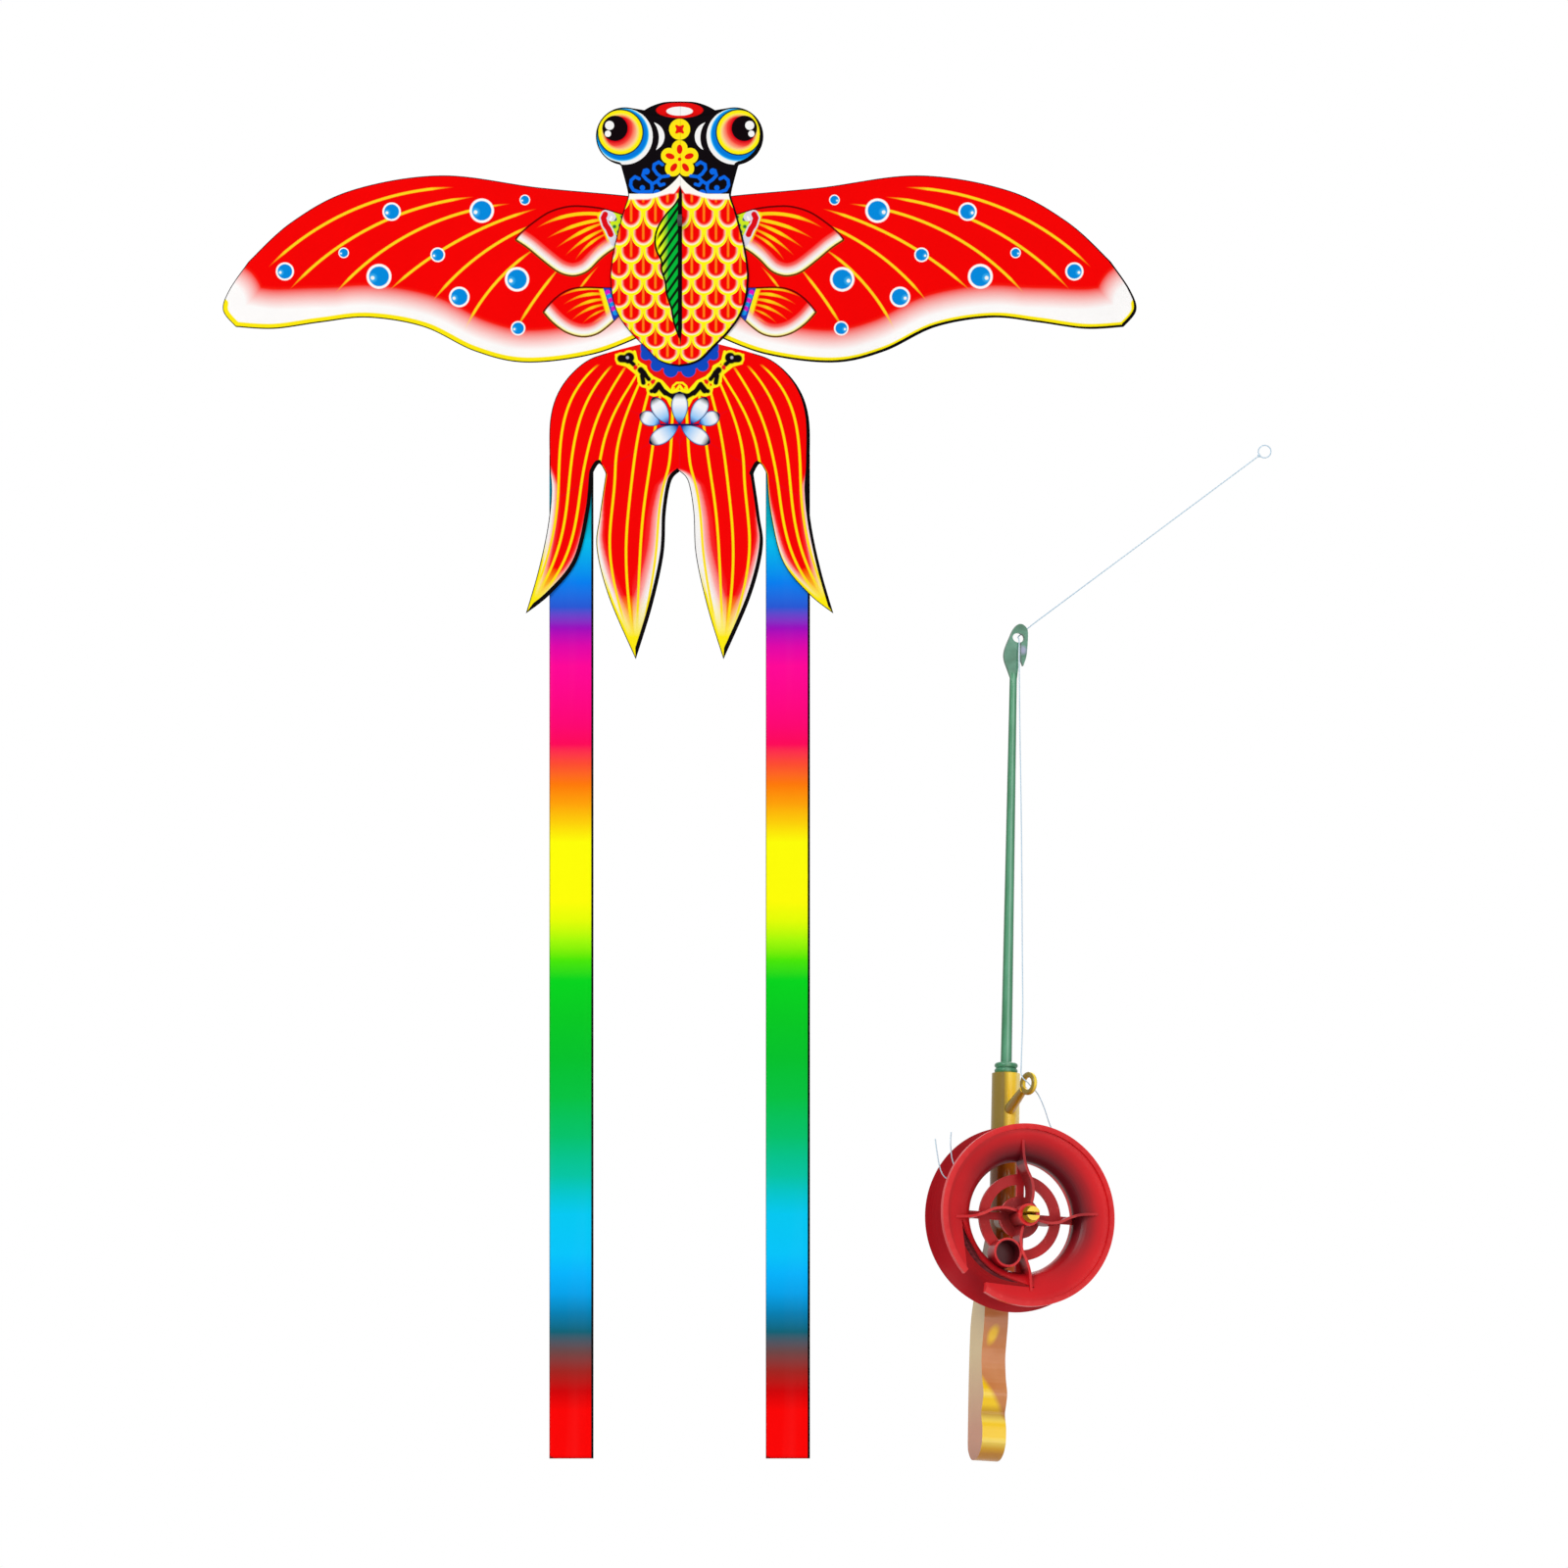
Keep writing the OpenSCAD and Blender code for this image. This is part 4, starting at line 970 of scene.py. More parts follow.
# %% The hood
SCROLLS = [
    [(7.0, 22.8), (8.5, 23.8), (10.4, 22.8), (10.6, 21.0), (9.2, 19.0), (7.5, 17.8), (4.5, 18.2)],
    [(7.5, 17.8), (9.2, 16.0), (10.9, 15.0)], [(9.2, 16.0), (7.9, 14.3), (6.4, 14.8)],
    [(14.4, 20.4), (15.0, 18.4), (13.5, 16.7), (11.5, 15.3), (11.2, 13.4), (11.6, 11.6)],
    [(16.5, 17.0), (18.2, 17.8), (19.8, 16.4), (20.0, 14.3), (18.9, 12.4), (16.5, 11.6),
     (11.6, 11.8)],
]


def head_print(f, x, z, point, colour):
    """The black hood with its marks, from the crown down to the neck band."""
    straight = f.point(x, z)
    for radii, up, shade in (((9.6, 3.2), 45.0, ink(230, 10, 10)), ((5.4, 1.85), 44.6, WHITE)):
        colour = f.lay(colour, shade, oval(f, x, z, (0.0, up), radii))
    outer, r_outer = circle_through((10.5, 40.0), (6.2, 34.8), (9.7, 28.8))
    inner, r_inner = circle_through((10.5, 40.0), (8.5, 34.8), (9.7, 28.8))
    crescent = f.within(f.far(point, outer), r_outer) * f.within(r_inner - f.far(point, inner))
    colour = f.lay(colour, WHITE, crescent)
    colour = eye(f, point, colour)
    colour = f.lay(colour, ink(255, 232, 20), disc(f, straight, (0.0, 37.2), 4.3))
    window = f.within(abs(x).most(abs(z - 37.2)), 1.75)
    for a, b in ((2.8, 0), (-2.8, 0), (0, 2.8), (0, -2.8)):
        window = window * f.within(1.45 - f.far(straight, (a, 37.2 + b)))
    colour = f.lay(colour, ink(235, 20, 10), window)
    colour = blossom(f, x, z, straight, colour, (0.0, 24.95))
    knobs = (((13.5, 20.0), 1.3), ((15.2, 13.3), 1.1), ((9.2, 11.0), 1.6))
    scroll = any_of([*(chain(f, point, places, 0.66, 0.3) for places in SCROLLS),
                     *(disc(f, point, *knob) for knob in knobs)])
    return f.lay(colour, ink(6, 104, 232), scroll)


# %% The whole body
def body_print():
    f = Finish("body_print")
    x, _, z = f.place()
    side = abs(x)
    point = f.point(side, z)
    low_band = 8.6 + side.ramp(13.0, 4.0) * 2.4
    top_band = 10.9 + side.ramp(12.0, 0.0).math("POWER", 2.0) * 7.6
    colour = scales(f, x, z)
    top = 14.4 - side * 1.5
    first = f.lay(ink(255, 252, 245), RED, f.within(z - top, -0.2, 0.8) * f.within(side, 2.6, 0.3))
    colour = f.lay(colour, first, f.within(low_band - z, 0.0, 0.7))
    hood = head_print(f, x, z, point, ink(10, 6, 10))
    colour = f.lay(colour, hood, f.within(top_band - z, 0.0, 0.15))
    colour = dorsal_fin(f, x, z, colour)
    # The black outline with its painted drop shadow on the right and lower sides, wider round the
    # head.
    rim = f.field("rim_mm")
    head = z.ramp(20.0, 22.0)
    width = f.field("ink_mm") * (0.45 + head * 0.45) + 0.2
    colour = f.lay(colour, BLACK, f.within(rim - width, 0.0, 0.2))
    return printed_cloth(f, colour)


def dorsal_fin(f, x, z, colour):
    """A green back fin left of a black middle line, crossed by rising strokes that bow."""
    depth = f.field("dorsal_mm")
    fin = f.within(-depth, 0.0, 0.1)
    shade = f.lay(ink(0, 186, 58), ink(250, 255, 0), x.ramp(-4.6, -8.0) * z.ramp(-32.0, -20.0))
    stroke = ((z - x * 1.45) / 4.7 + 0.2).math("FRACT")
    shade = f.coats(shade,
        ((4, 26, 8), f.within(abs(stroke - 0.5), 0.2, 0.1) * x.ramp(-10.0, -8.0)),
        ((8, 12, 6), f.within(depth, 0.75, 0.3)))
    colour = f.lay(colour, shade, fin)
    thick = z.ramp(14.5, 11.0).least(z.ramp(-51.5, -44.0)) * 0.75
    return f.lay(colour, BLACK, f.within(abs(x - 0.3) - thick, 0.0, 0.25))


body_cloth = body_print()
body_sail = body_panel()

# %% [markdown]
# ## Tail fin
#
# The tail is one cut with four lobes. Each half is two strips of ruled surface that share one
# ray: the inner strip runs into the inner lobe and the outer strip into the outer lobe. Their
# rulings follow the real fin's rays, so the print can be drawn straight along u and v.

# %% The tail's outline, in shares of its half width and length
TAIL_HALF, TAIL_TOP, TAIL_LENGTH = 62.8, -46.0, 133.2
TAIL_OUTER = [
    [0, 0], [0.43, 0.055], [0.62, 0.09], [0.77, 0.165], [0.84, 0.26],
    [0.845, 0.4], [0.835, 0.49], [0.86, 0.6], [0.92, 0.73], [1, 0.86]
]
TAIL_SLOT = [[1, 0.86], [0.84, 0.8], [0.67, 0.7], [0.59, 0.55], [0.565, 0.43]]
TAIL_SLOT_TOP = [[0.565, 0.43], [0.522, 0.4], [0.48, 0.43]]
TAIL_INNER = [[0.48, 0.43], [0.52, 0.56], [0.54, 0.66], [0.46, 0.81], [0.285, 1]]
TAIL_CROTCH = [[0.285, 1], [0.18, 0.84], [0.105, 0.68], [0.09, 0.55], [0.055, 0.455], [0, 0.424]]
SHARED_RAY = [[12, -49.5], [15.4, -59], [19.6, -66.4], [24, -73.6], [27.8, -81.2],
              [30.8, -89.8], [32.78, -99.28]]


def tail_mm(points):
    """Shares to millimetres: out from the middle, and down from the hidden top edge."""
    out, down = np.asarray(points, float).T
    return np.c_[out * TAIL_HALF, TAIL_TOP - down * TAIL_LENGTH]


outer = curve(tail_mm(TAIL_OUTER), 12)
slot_edge, slot_top = curve(tail_mm(TAIL_SLOT), 12), curve(tail_mm(TAIL_SLOT_TOP), 8)
inner_edge, crotch = curve(tail_mm(TAIL_INNER), 12), curve(tail_mm(TAIL_CROTCH), 12)
ray = curve(SHARED_RAY, 8)
tail_free_hem = np.vstack([outer[14:], slot_edge[1:], slot_top[1:], inner_edge[1:], crotch[1:]])
root_in, root_out = np.array([0.0, -46.0]), np.array([27.0, -53.3])
print("tail hem", len(tail_free_hem), "points")

# %% The tail panel, strip by strip
RAYS_IN, RAYS_OUT = [0.12, 0.35, 0.59, 0.834, 1.0], [0.0, 0.28, 0.56, 0.81]
UPPER_ROWS, LOBE_ROWS = 64, 96


def strip(left, right, columns):
    """Ruled surface: u from the left path to the right one, v down both. Each path is given
    in an upper and a lobe part, and each part has equal steps, so that strips meet."""
    a, b = (np.vstack([evenly(upper, UPPER_ROWS)[:-1], evenly(lobe, LOBE_ROWS)])
            for upper, lobe in (left, right))
    u = columns[:, None, None]
    return a * (1 - u) + b * u


def relax(grid, rounds=400):
    """Moves each inner point to the middle of its four neighbours, again and again, so that
    bends of the rim die out towards the inside."""
    for _ in range(rounds):
        grid[1:-1, 1:-1] = (grid[:-2, 1:-1] + grid[2:, 1:-1]
                            + grid[1:-1, :-2] + grid[1:-1, 2:]) / 4
    return grid


def tail_panel():
    """Inner strip: from the middle line and the crotch to the shared ray and the inner edge.
    Outer strip: from the shared ray and the slot to the outer edge. Both are mirrored."""
    half = len(slot_top) // 2
    start = np.argmin(np.linalg.norm(outer - root_out, axis=1))
    split = start + int(0.5 * (len(outer) - start))
    strips = [
        (([root_in, [0, -102.48]], crotch[::-1]),
         (ray, np.vstack([slot_top[half:], inner_edge[1:]])), RAYS_IN),
        ((ray, np.vstack([slot_top[:half + 1][::-1], slot_edge[::-1][1:]])),
         (outer[start:split], outer[split - 1:]), RAYS_OUT),
    ]
    v = np.r_[np.linspace(0, 1, UPPER_ROWS)[:-1], np.linspace(1, 2, LOBE_ROWS)]
    points, faces, ray_mm, ray_v, first = [], [], [], [], 0
    for left, right, rays in strips:
        u = np.unique(np.r_[np.linspace(0, 1, 50), rays].round(5))
        grid = relax(strip([np.array(p, float) for p in left], right, u))
        gone = np.linalg.norm(np.diff(grid, axis=0, prepend=grid[:1]), axis=2).cumsum(axis=0)
        off = np.min([abs(gone - gone[np.argmin(abs(u - k))]) for k in rays], axis=0)
        for side in (-1, 1):
            points.append(np.stack([side * grid[..., 0], grid[..., 1]], -1).reshape(-1, 2))
            made = grid_faces(*off.shape)
            faces.append((made if side > 0 else made[:, ::-1]) + first)
            ray_mm.append(off.ravel())
            ray_v.append(np.tile(v, len(u)))
            first += off.size
    flat = np.vstack(points)
    fields, link = rim_fields(flat, tail_free_hem)
    parts = ((outer[14:], 0.0, 2.4), (slot_edge[1:], 2.6, 0.0), (slot_top[1:], 0.0, 0.0),
             (inner_edge[1:], 0.0, 3.4), (crotch[1:], 5.2, 1.4))
    pale = np.hstack([np.linspace(start, end, len(part)) for part, start, end in parts])
    out = abs(flat[:, 0])
    lower_body = body_hem[120:]
    fields.update(ray_mm=np.hstack(ray_mm), ray_v=np.hstack(ray_v), pale_mm=pale[link],
                  collar_mm=nearest(np.c_[out, flat[:, 1]], lower_body)[0])
    loose = np.clip((-flat[:, 1] - 104) / 70, 0, 1) ** 1.3
    y = BEHIND_BODY_Y - loose * (0.9 - 0.9 * np.cos(out / 22.0 * math.pi))
    return make_piece("tail_sail", "tail_fin_panel", np.c_[flat[:, 0], y, flat[:, 1]],
                      np.vstack(faces), "kite", tail_cloth, fields,
                      facing=(0, -1, 0), wall=SAIL_WALL)

# %% [markdown]
# ### The tail's print
#
# A collar of blue scallops follows the end of the body, and black clouds lie between two
# yellow lines outside it. Yellow rays run down the strips, the free edges pale to white, the
# tips turn yellow, and a lotus lies across the middle.


# %% A lotus
def petal(x, z, base, tip, width):
    """Distance from a petal's edge, negative inside, and the share of the way from base to
    tip: the half width is width / 2 times (4 t (1 - t))^0.75, with the point stretched."""
    length = math.dist(base, tip)
    way = ((tip[0] - base[0]) / length, (tip[1] - base[1]) / length)
    dx, dz = x - base[0], z - base[1]
    share = (dx * (way[0] / length) + dz * (way[1] / length))
    across = abs(dz * way[0] - dx * way[1])
    t = share.math("MULTIPLY", 1.0, clamp=True).math("POWER", 1.25)
    bow = (t * (1.0 - t) * 4.0).math("POWER", 0.7)
    return across - bow * (width / 2), share


def lotus(f, x, z, colour):
    """Petals from the back ones to the front one, pale with blue bases and black tips."""
    side = abs(x)
    petals = [((7.8, -83.0), (16.4, -79.2), 6.2), ((0.4, -83.8), (12.4, -91.0), 6.8),
              ((4.6, -83.2), (11.0, -72.2), 6.6), ((0.0, -83.4), (0.0, -69.8), 7.0)]
    for base, tip, width in petals:
        off, share = petal(side, z, base, tip, width)
        shade = f.coats(ink(242, 246, 252),
            ((150, 178, 220), off.ramp(-1.0, -0.2)),
            ((134, 196, 248), share.ramp(0.62, 0.22)),
            ((22, 60, 170), share.ramp(0.24, 0.06)),
            ((6, 10, 40), share.ramp(0.76, 0.94)),
            ((16, 28, 90), f.within(-off, 0.3, 0.3)))
        colour = f.lay(colour, shade, f.within(off, 0.0, 0.12))
    base = f.within(abs(z + 83.4), 0.4, 0.2) * f.within(side, 8.0, 0.3)
    return f.lay(colour, ink(14, 20, 80), base)

# %% The collar
COLLAR_LINE = [(0.0, -67.5), (1.2, -69.1), (3.5, -70.0), (5.7, -68.4), (7.5, -65.7), (11.0, -64.0),
               (12.8, -62.2), (13.5, -60.0), (15.7, -58.6), (17.5, -57.3), (18.4, -53.6)]
CURL_LINE = [(3.4, -69.6), (2.7, -67.6), (1.2, -66.3), (0.0, -66.3)]
OUTER_LINE = [(3.4, -75.5), (4.8, -72.8), (7.5, -70.8), (10.6, -71.3), (12.6, -70.6), (13.2, -68.0),
              (15.0, -67.5), (16.6, -65.7), (16.8, -63.1), (19.2, -61.1), (21.7, -59.1),
              (25.2, -58.2), (25.8, -55.0)]
CLOUDS = [  # a bar's start, its end and its radius
    ((20.6, -56.0), (21.0, -56.4), 2.1), ((22.0, -56.5), (23.9, -56.4), 1.6),
    ((20.4, -57.4), (18.8, -58.8), 0.9), ((15.9, -61.1), (14.1, -63.1), 1.3),
    ((14.1, -63.1), (12.6, -64.8), 0.9), ((15.3, -63.4), (14.8, -66.2), 1.0),
    ((8.4, -67.1), (10.2, -69.4), 1.3), ((10.2, -69.4), (11.5, -69.7), 0.9),
    ((8.2, -67.4), (5.7, -70.2), 1.4), ((5.7, -70.4), (2.6, -72.0), 1.0),
    ((2.6, -71.9), (0.0, -71.2), 1.3),
]


def collar(f, side, z, colour):
    """Blue scallops along the end of the body, a red band, and black clouds between two
    yellow lines."""
    point = f.point(side, z)
    near = f.field("collar_mm")
    low = f.within(z, -48.5, 0.5)
    blue = f.within(near, 2.2, 0.3)
    red = f.within(near, 3.6, 0.3)
    for centre, radius in (((3.6, -61.1), 3.0), ((9.4, -59.2), 2.5), ((13.8, -54.8), 2.3)):
        far = f.far(point, centre)
        blue = blue.most(f.within(far, radius, 0.3))
        red = red.most(f.within(far, radius + 1.5, 0.3))
    fill = f.within(near, 8.6, 0.4) * f.within(side, 20.0, 0.5)
    colour = f.lay(colour, ink(238, 18, 14), fill * low)
    clouds = any_of(bar_mask(f, point, a, b, radius, 0.5) for a, b, radius in CLOUDS)
    rims = any_of([chain(f, point, OUTER_LINE, 0.62, 0.3),
                   *(bar_mask(f, point, a, b, radius + 0.9, 0.4) for a, b, radius in CLOUDS)])
    colour = f.coats(colour,
        ((255, 240, 20), rims),
        ((12, 6, 10), clouds))
    for centre, shade, radius in (((21.3, -56.0), ink(190, 190, 205), 0.6),
                                  ((18.0, -60.0), ink(240, 20, 30), 0.9),
                                  ((11.0, -65.9), ink(240, 20, 30), 0.9)):
        colour = f.lay(colour, shade, disc(f, point, centre, radius, 0.5))
    line = chain(f, point, COLLAR_LINE, 0.55, 0.3).most(chain(f, point, CURL_LINE, 0.4, 0.3))
    return f.coats(colour,
        ((255, 246, 20), line),
        ((238, 18, 14), red * low * f.within(side, 16.4, 0.5)),
        ((14, 72, 192), blue * low * f.within(side, 16.0, 0.5)))


# %% The whole tail
def tail_print():
    f = Finish("tail_print")
    x, _, z = f.place()
    rim, v, off = f.field("rim_mm"), f.field("ray_v"), f.field("ray_mm")
    edge = f.field("pale_mm") * z.ramp(-98.0, -108.0)
    inner = (edge * 1.6 - rim) / (edge * 0.55 + 0.4)
    colour = f.coats(RED,
        ((255, 60, 60), inner.ramp(-1.4, 0.2) * 0.9 * edge.ramp(0.2, 0.8)),
        ((255, 195, 190), inner.ramp(-0.5, 0.9) * edge.ramp(0.2, 0.8)),
        ((248, 246, 244), inner.ramp(0.5, 1.4) * edge.ramp(0.2, 0.8)))
    line = f.within(off, 0.5, 0.35) * v.ramp(0.2, 0.28) * v.ramp(1.86, 1.74)
    colour = f.coats(colour,
        ((255, 226, 10), line),
        ((255, 236, 20), v.ramp(1.66, 1.88)))
    colour = collar(f, abs(x), z, colour)
    colour = lotus(f, x, z, colour)
    # A yellow rim on the lobes, then the black outline with its painted drop shadow on the right
    # and lower sides.
    colour = f.coats(colour,
        (YELLOW, f.within(rim, 1.3, 0.6) * v.ramp(1.5, 1.65)),
        (BLACK, f.within(rim - f.field("ink_mm"), 0.0, 0.15)))
    return printed_cloth(f, colour)


tail_cloth = tail_print()
tail_sail = tail_panel()

# %% [markdown]
# ## Ribbons
#
# A ribbon of thin dyed polyester hangs from a tape under each side of the tail. The fold at its top
# is its hinge. It hangs straight, with only a slight roll along its length.

# %% The dyed bands, from the fold down
RIBBON_W, RIBBON_AT, RIBBON_TOP, RIBBON_END = 18.0, 44.2, -101.6, -505.6
BANDS = [  # height in millimetres and screen colour
    (-104, (0, 150, 190)), (-124, (0, 172, 190)), (-131, (0, 190, 236)), (-148, (2, 126, 240)),
    (-158, (40, 87, 212)), (-166, (151, 11, 191)),
    (-174, (224, 1, 169)), (-182, (255, 1, 152)), (-198, (255, 0, 129)), (-206, (254, 0, 114)),
    (-214, (254, 3, 88)), (-222, (254, 76, 48)), (-230, (255, 120, 4)), (-238, (255, 161, 3)),
    (-246, (254, 208, 3)), (-254, (255, 255, 1)), (-278, (255, 255, 1)), (-286, (229, 255, 0)),
    (-294, (165, 251, 2)), (-302, (73, 233, 0)), (-310, (1, 214, 28)), (-326, (2, 202, 34)),
    (-342, (0, 195, 44)), (-358, (1, 196, 66)), (-374, (0, 196, 108)), (-390, (1, 199, 165)),
    (-406, (0, 203, 245)), (-422, (1, 199, 254)), (-430, (1, 182, 255)), (-438, (1, 164, 237)),
    (-446, (2, 129, 181)), (-454, (15, 98, 118)), (-462, (110, 71, 71)), (-470, (163, 36, 31)),
    (-478, (208, 0, 3)), (-486, (254, 0, 0)), (-506, (254, 0, 0)),
]


def ribbon_dye():
    """Every band is one stop or more of a ramp over the height; a ramp holds 32 stops, so the
    run is split into two ramps that meet at the green. The height and the place across come
    from the mesh and not from space, so the dye stays on the cloth when a ribbon swings."""
    f = Finish("ribbon_dye")
    x, z = f.field("right_mm"), f.field("height_mm")

    def cloud(scale, detail, flow=1.0):
        return f.node("TexNoise", {"noise_dimensions": "2D"},
                      {"Vector": f.point(x, z * flow), "Scale": scale, "Detail": detail})

    top, middle_z, end = BANDS[0][0], -326, BANDS[-1][0]
    parts = []
    for high, low in ((top, middle_z), (middle_z, end)):
        stops = [((high - h) / (high - low), ink(*c)) for h, c in BANDS if low <= h <= high]
        parts.append(f.node("ValToRGB", {"stops": stops}, (z.ramp(high, low),)))
    # The two ramps, a dark cut edge all round, and a black painted drop shadow along each ribbon's
    # right edge.
    colour = f.coats(parts[0],
        (parts[1], f.within(z, middle_z, 0.1)),
        ((40, 20, 20), f.within(f.field("edge_mm"), 0.28, 0.15) * 0.75),
        (BLACK, f.within(x, 0.9, 0.2)),
        (WHITE, cloud(0.12, 2.0, 0.04).ramp(0.5, 1.0) * 0.01))
    ribs = (z * (math.tau / 0.5)).math("SINE").ramp(-1.0, 1.0)
    relief = f.bump(ribs, 0.25, 0.03)
    relief = f.bump(cloud(0.02, 1.0, 0.35), 0.3, 1.0, relief)
    return f.surface(colour, cloud(0.5, 2.0) * 0.15 + 0.5, relief, Specular_IOR_Level=0.04)


# %% The ribbons
def ribbon(side):
    """Point (u, v): x across the width, z down; y rolls in two slow waves that start flat at
    the fold and grow towards the free end."""
    across = np.r_[0.0, 0.03, np.linspace(0.1, 0.9, 9), 0.97, 1.0]
    u, v = np.meshgrid(across, np.linspace(0, 1, 260), indexing="ij")
    x = RIBBON_AT * side + (u - 0.5) * RIBBON_W
    z = RIBBON_TOP + (RIBBON_END - RIBBON_TOP) * v
    grow = np.clip(v * 6, 0, 1) * (0.4 + 0.6 * v)
    y = 3.62 + grow * (0.7 * np.sin(v * 11 + side) + 0.5 * (u - 0.5) * np.sin(v * 17 + 2 * side))
    edge = np.minimum(np.minimum(u, 1 - u) * RIBBON_W, (1 - v) * (RIBBON_TOP - RIBBON_END))
    node = "streamer_" + WORD[side]
    piece = make_piece("ribbon_" + WORD[side], node, np.stack([x, y, z], -1),
                       grid_faces(*u.shape), None, ribbon_cloth,
                       {"edge_mm": edge, "right_mm": (1 - u) * RIBBON_W, "height_mm": z},
                       facing=(0, -1, 0), wall=0.14)
    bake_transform(piece)
    return piece


ribbon_cloth = ribbon_dye()
ribbons = [ribbon(side) for side in WORD]
print("ribbon", RIBBON_W, "by", RIBBON_TOP - RIBBON_END, "mm")

# %% [markdown]
# ## Sewn parts on the back
#
# The rods are held by cloth: a sleeve along the top of each wing, small pockets over the rods'
# ends, and a tape that takes each ribbon. A pocket is one patch that is flat at its sewn rim
# and rises over the rod, so its height is a product of two smooth steps.


# %% Woven tape and webbing, with stitches
def sewn_cloth(name, light, dark, thread, ribs=0.55):
    """Ribs of the weave, and a running stitch where seam_mm is near nothing: each stitch is
    1.7 mm of every 2.4 mm, stands up a little, and the cloth dips round it."""
    f = Finish(name)
    x, _, z = f.place()
    seam, along = abs(f.field("seam_mm")), f.field("along_mm")
    rib = ((x + z) * (math.tau / ribs)).math("SINE").ramp(-1.0, 1.0)
    cross = ((x - z) * (math.tau / (ribs * 2.1))).math("SINE").ramp(-1.0, 1.0)
    colour = f.coats(light,
        (dark, rib * 0.45 + cross * 0.25),
        (dark, f.noise(0.1, 4.0).ramp(0.45, 0.75) * 0.5))
    beat = (along / 2.4).math("FRACT")
    stitch = f.within(abs(beat - 0.5), 0.35, 0.08) * f.within(seam, 0.2, 0.1)
    colour = f.coats(colour,
        (dark, f.within(seam, 0.55, 0.4) * 0.5),
        (thread, stitch))
    relief = f.bump(rib * 0.7 + cross * 0.3, 0.4, 0.05)
    relief = f.bump(seam.ramp(0.0, 0.7), 0.5, 0.2, relief)
    relief = f.bump(stitch, 0.8, 0.12, relief)
    rough = f.noise(1.5, 3.0) * 0.2 + 0.62
    return f.surface(colour, rough, relief, Specular_IOR_Level=0.08)


red_tape = sewn_cloth("red_tape", ink(226, 24, 22), ink(150, 8, 10), ink(255, 196, 60))
black_webbing = sewn_cloth("black_webbing", ink(52, 50, 52), ink(20, 19, 21), ink(206, 202, 196))

# %% Sleeves along the wings' top edges
HEM, SLEEVE_FROM, ROD_Y = 2.2, 30.0, 4.5


def headings(path):
    """The unit direction of a path at each of its points."""
    d = np.gradient(path, axis=0)
    return d / np.linalg.norm(d, axis=1)[:, None]


def sleeve(side):
    """Ring (s, a): the place on the spar's line at length s, plus r (cos a, sin a), where
    r = 1.07 + 0.05 sin(2 pi s / 3.1) puckers the cloth at each stitch."""
    top = curve(wing_mm(WING_TOP), 24)
    spar = top + HEM * headings(top) @ [[0, -1], [1, 0]]
    spar = evenly(spar[(spar[:, 0] > SLEEVE_FROM) & (spar[:, 0] < spar[-1, 0] - 8)], 240)
    d = headings(spar)
    s = np.r_[0, np.cumsum(np.linalg.norm(np.diff(spar, axis=0), axis=1))]
    a = np.radians(np.arange(0, 360, 20))
    r = (1.07 + 0.05 * np.sin(math.tau * s / 3.1))[:, None] * (1 + 0 * a)
    up, back = r * np.cos(a), r * np.sin(a)
    x = spar[:, :1] - d[:, 1:] * up
    z = spar[:, 1:] + d[:, :1] * up
    seam = (np.abs(np.angle(np.exp(1j * (a - math.radians(215))))) * 1.1)[None, :] + 0 * r
    return make_piece("sleeve_" + WORD[side], "wing_sleeve_" + WORD[side],
                      np.stack([side * x, ROD_Y + back, z], -1),
                      grid_faces(*r.shape, around=True), "kite", red_tape,
                      {"seam_mm": seam, "along_mm": s[:, None] + 0 * r}, wall=0.2)


sleeves = [sleeve(side) for side in WORD]


# %% Pockets over the rods' ends
def step(x, low, high):
    """0 below low, 1 above high, and a smooth rise 3t^2 - 2t^3 between."""
    t = np.clip((x - low) / (high - low), 0, 1)
    return t * t * (3 - 2 * t)


def pocket(name, node, end, way, half, base, top):
    """A patch over a rod's end: a runs across, b from the open mouth at -7.9 mm to past the
    rod's end at 0. Its height is base + (top - base) B(a) E(b): B falls from the rod's crown
    to the sewn sides, and E falls just past the rod's end."""
    across = np.linspace(-half, half, 33)
    along = np.r_[np.linspace(-7.9, 0.1, 26), np.linspace(0.2, 0.6, 12)]
    a, b = np.meshgrid(across, along, indexing="ij")
    rise = 1 - step(abs(a), 0.22 * half, 0.86 * half)
    rise = rise * (1 - step(b, 0.1, 0.5))
    slack = 0.06 * np.sin(b * 2.6) * np.sin(abs(a) / half * math.pi)
    y = base + 0.12 + (top - base - 0.3) * rise + slack
    way = np.array(way, float) / np.linalg.norm(way)
    x = end[0] + b * way[0] - a * way[1]
    z = end[1] + b * way[1] + a * way[0]
    side_gap, end_gap = half - abs(a), b.max() - b
    seam = np.minimum(side_gap, end_gap) - 0.5
    fields = {"seam_mm": seam, "along_mm": np.where(side_gap < end_gap, b, a)}
    return make_piece(name, node, np.stack([x, y, z], -1), grid_faces(*a.shape),
                      "kite", black_webbing, fields, facing=(0, 1, 0), wall=0.26)


def rod_tip(side):
    """The spar's end and direction, worked out as the sleeve's are, from the whole top edge."""
    top = curve(wing_mm(WING_TOP), 7)
    d = top[-1] - top[-2]
    d /= np.linalg.norm(d)
    end = top[-1] + HEM * np.array([d[1], -d[0]])
    return (side * end[0], end[1]), (side * d[0], d[1])


pockets = {
    "head": pocket("pocket_head", "head_pocket", (0, 45.55), (0, 1), 4.0, 2.9, 6.05),
    "tail": pocket("pocket_tail", "tail_pocket", (0, -97.45), (0, -1), 4.0, 3.2, 6.05),
}
for side, word in WORD.items():
    pockets["tip_" + word] = pocket("pocket_tip_" + word, "wing_tip_pocket_" + word,
                                    *rod_tip(side), 1.9, 3.2, 5.85)
    pockets["spreader_" + word] = pocket("pocket_spreader_" + word, "spreader_pocket_" + word,
                                         (side * 48.0, -78.0), (side, 0), 2.4, 3.2, 7.75)


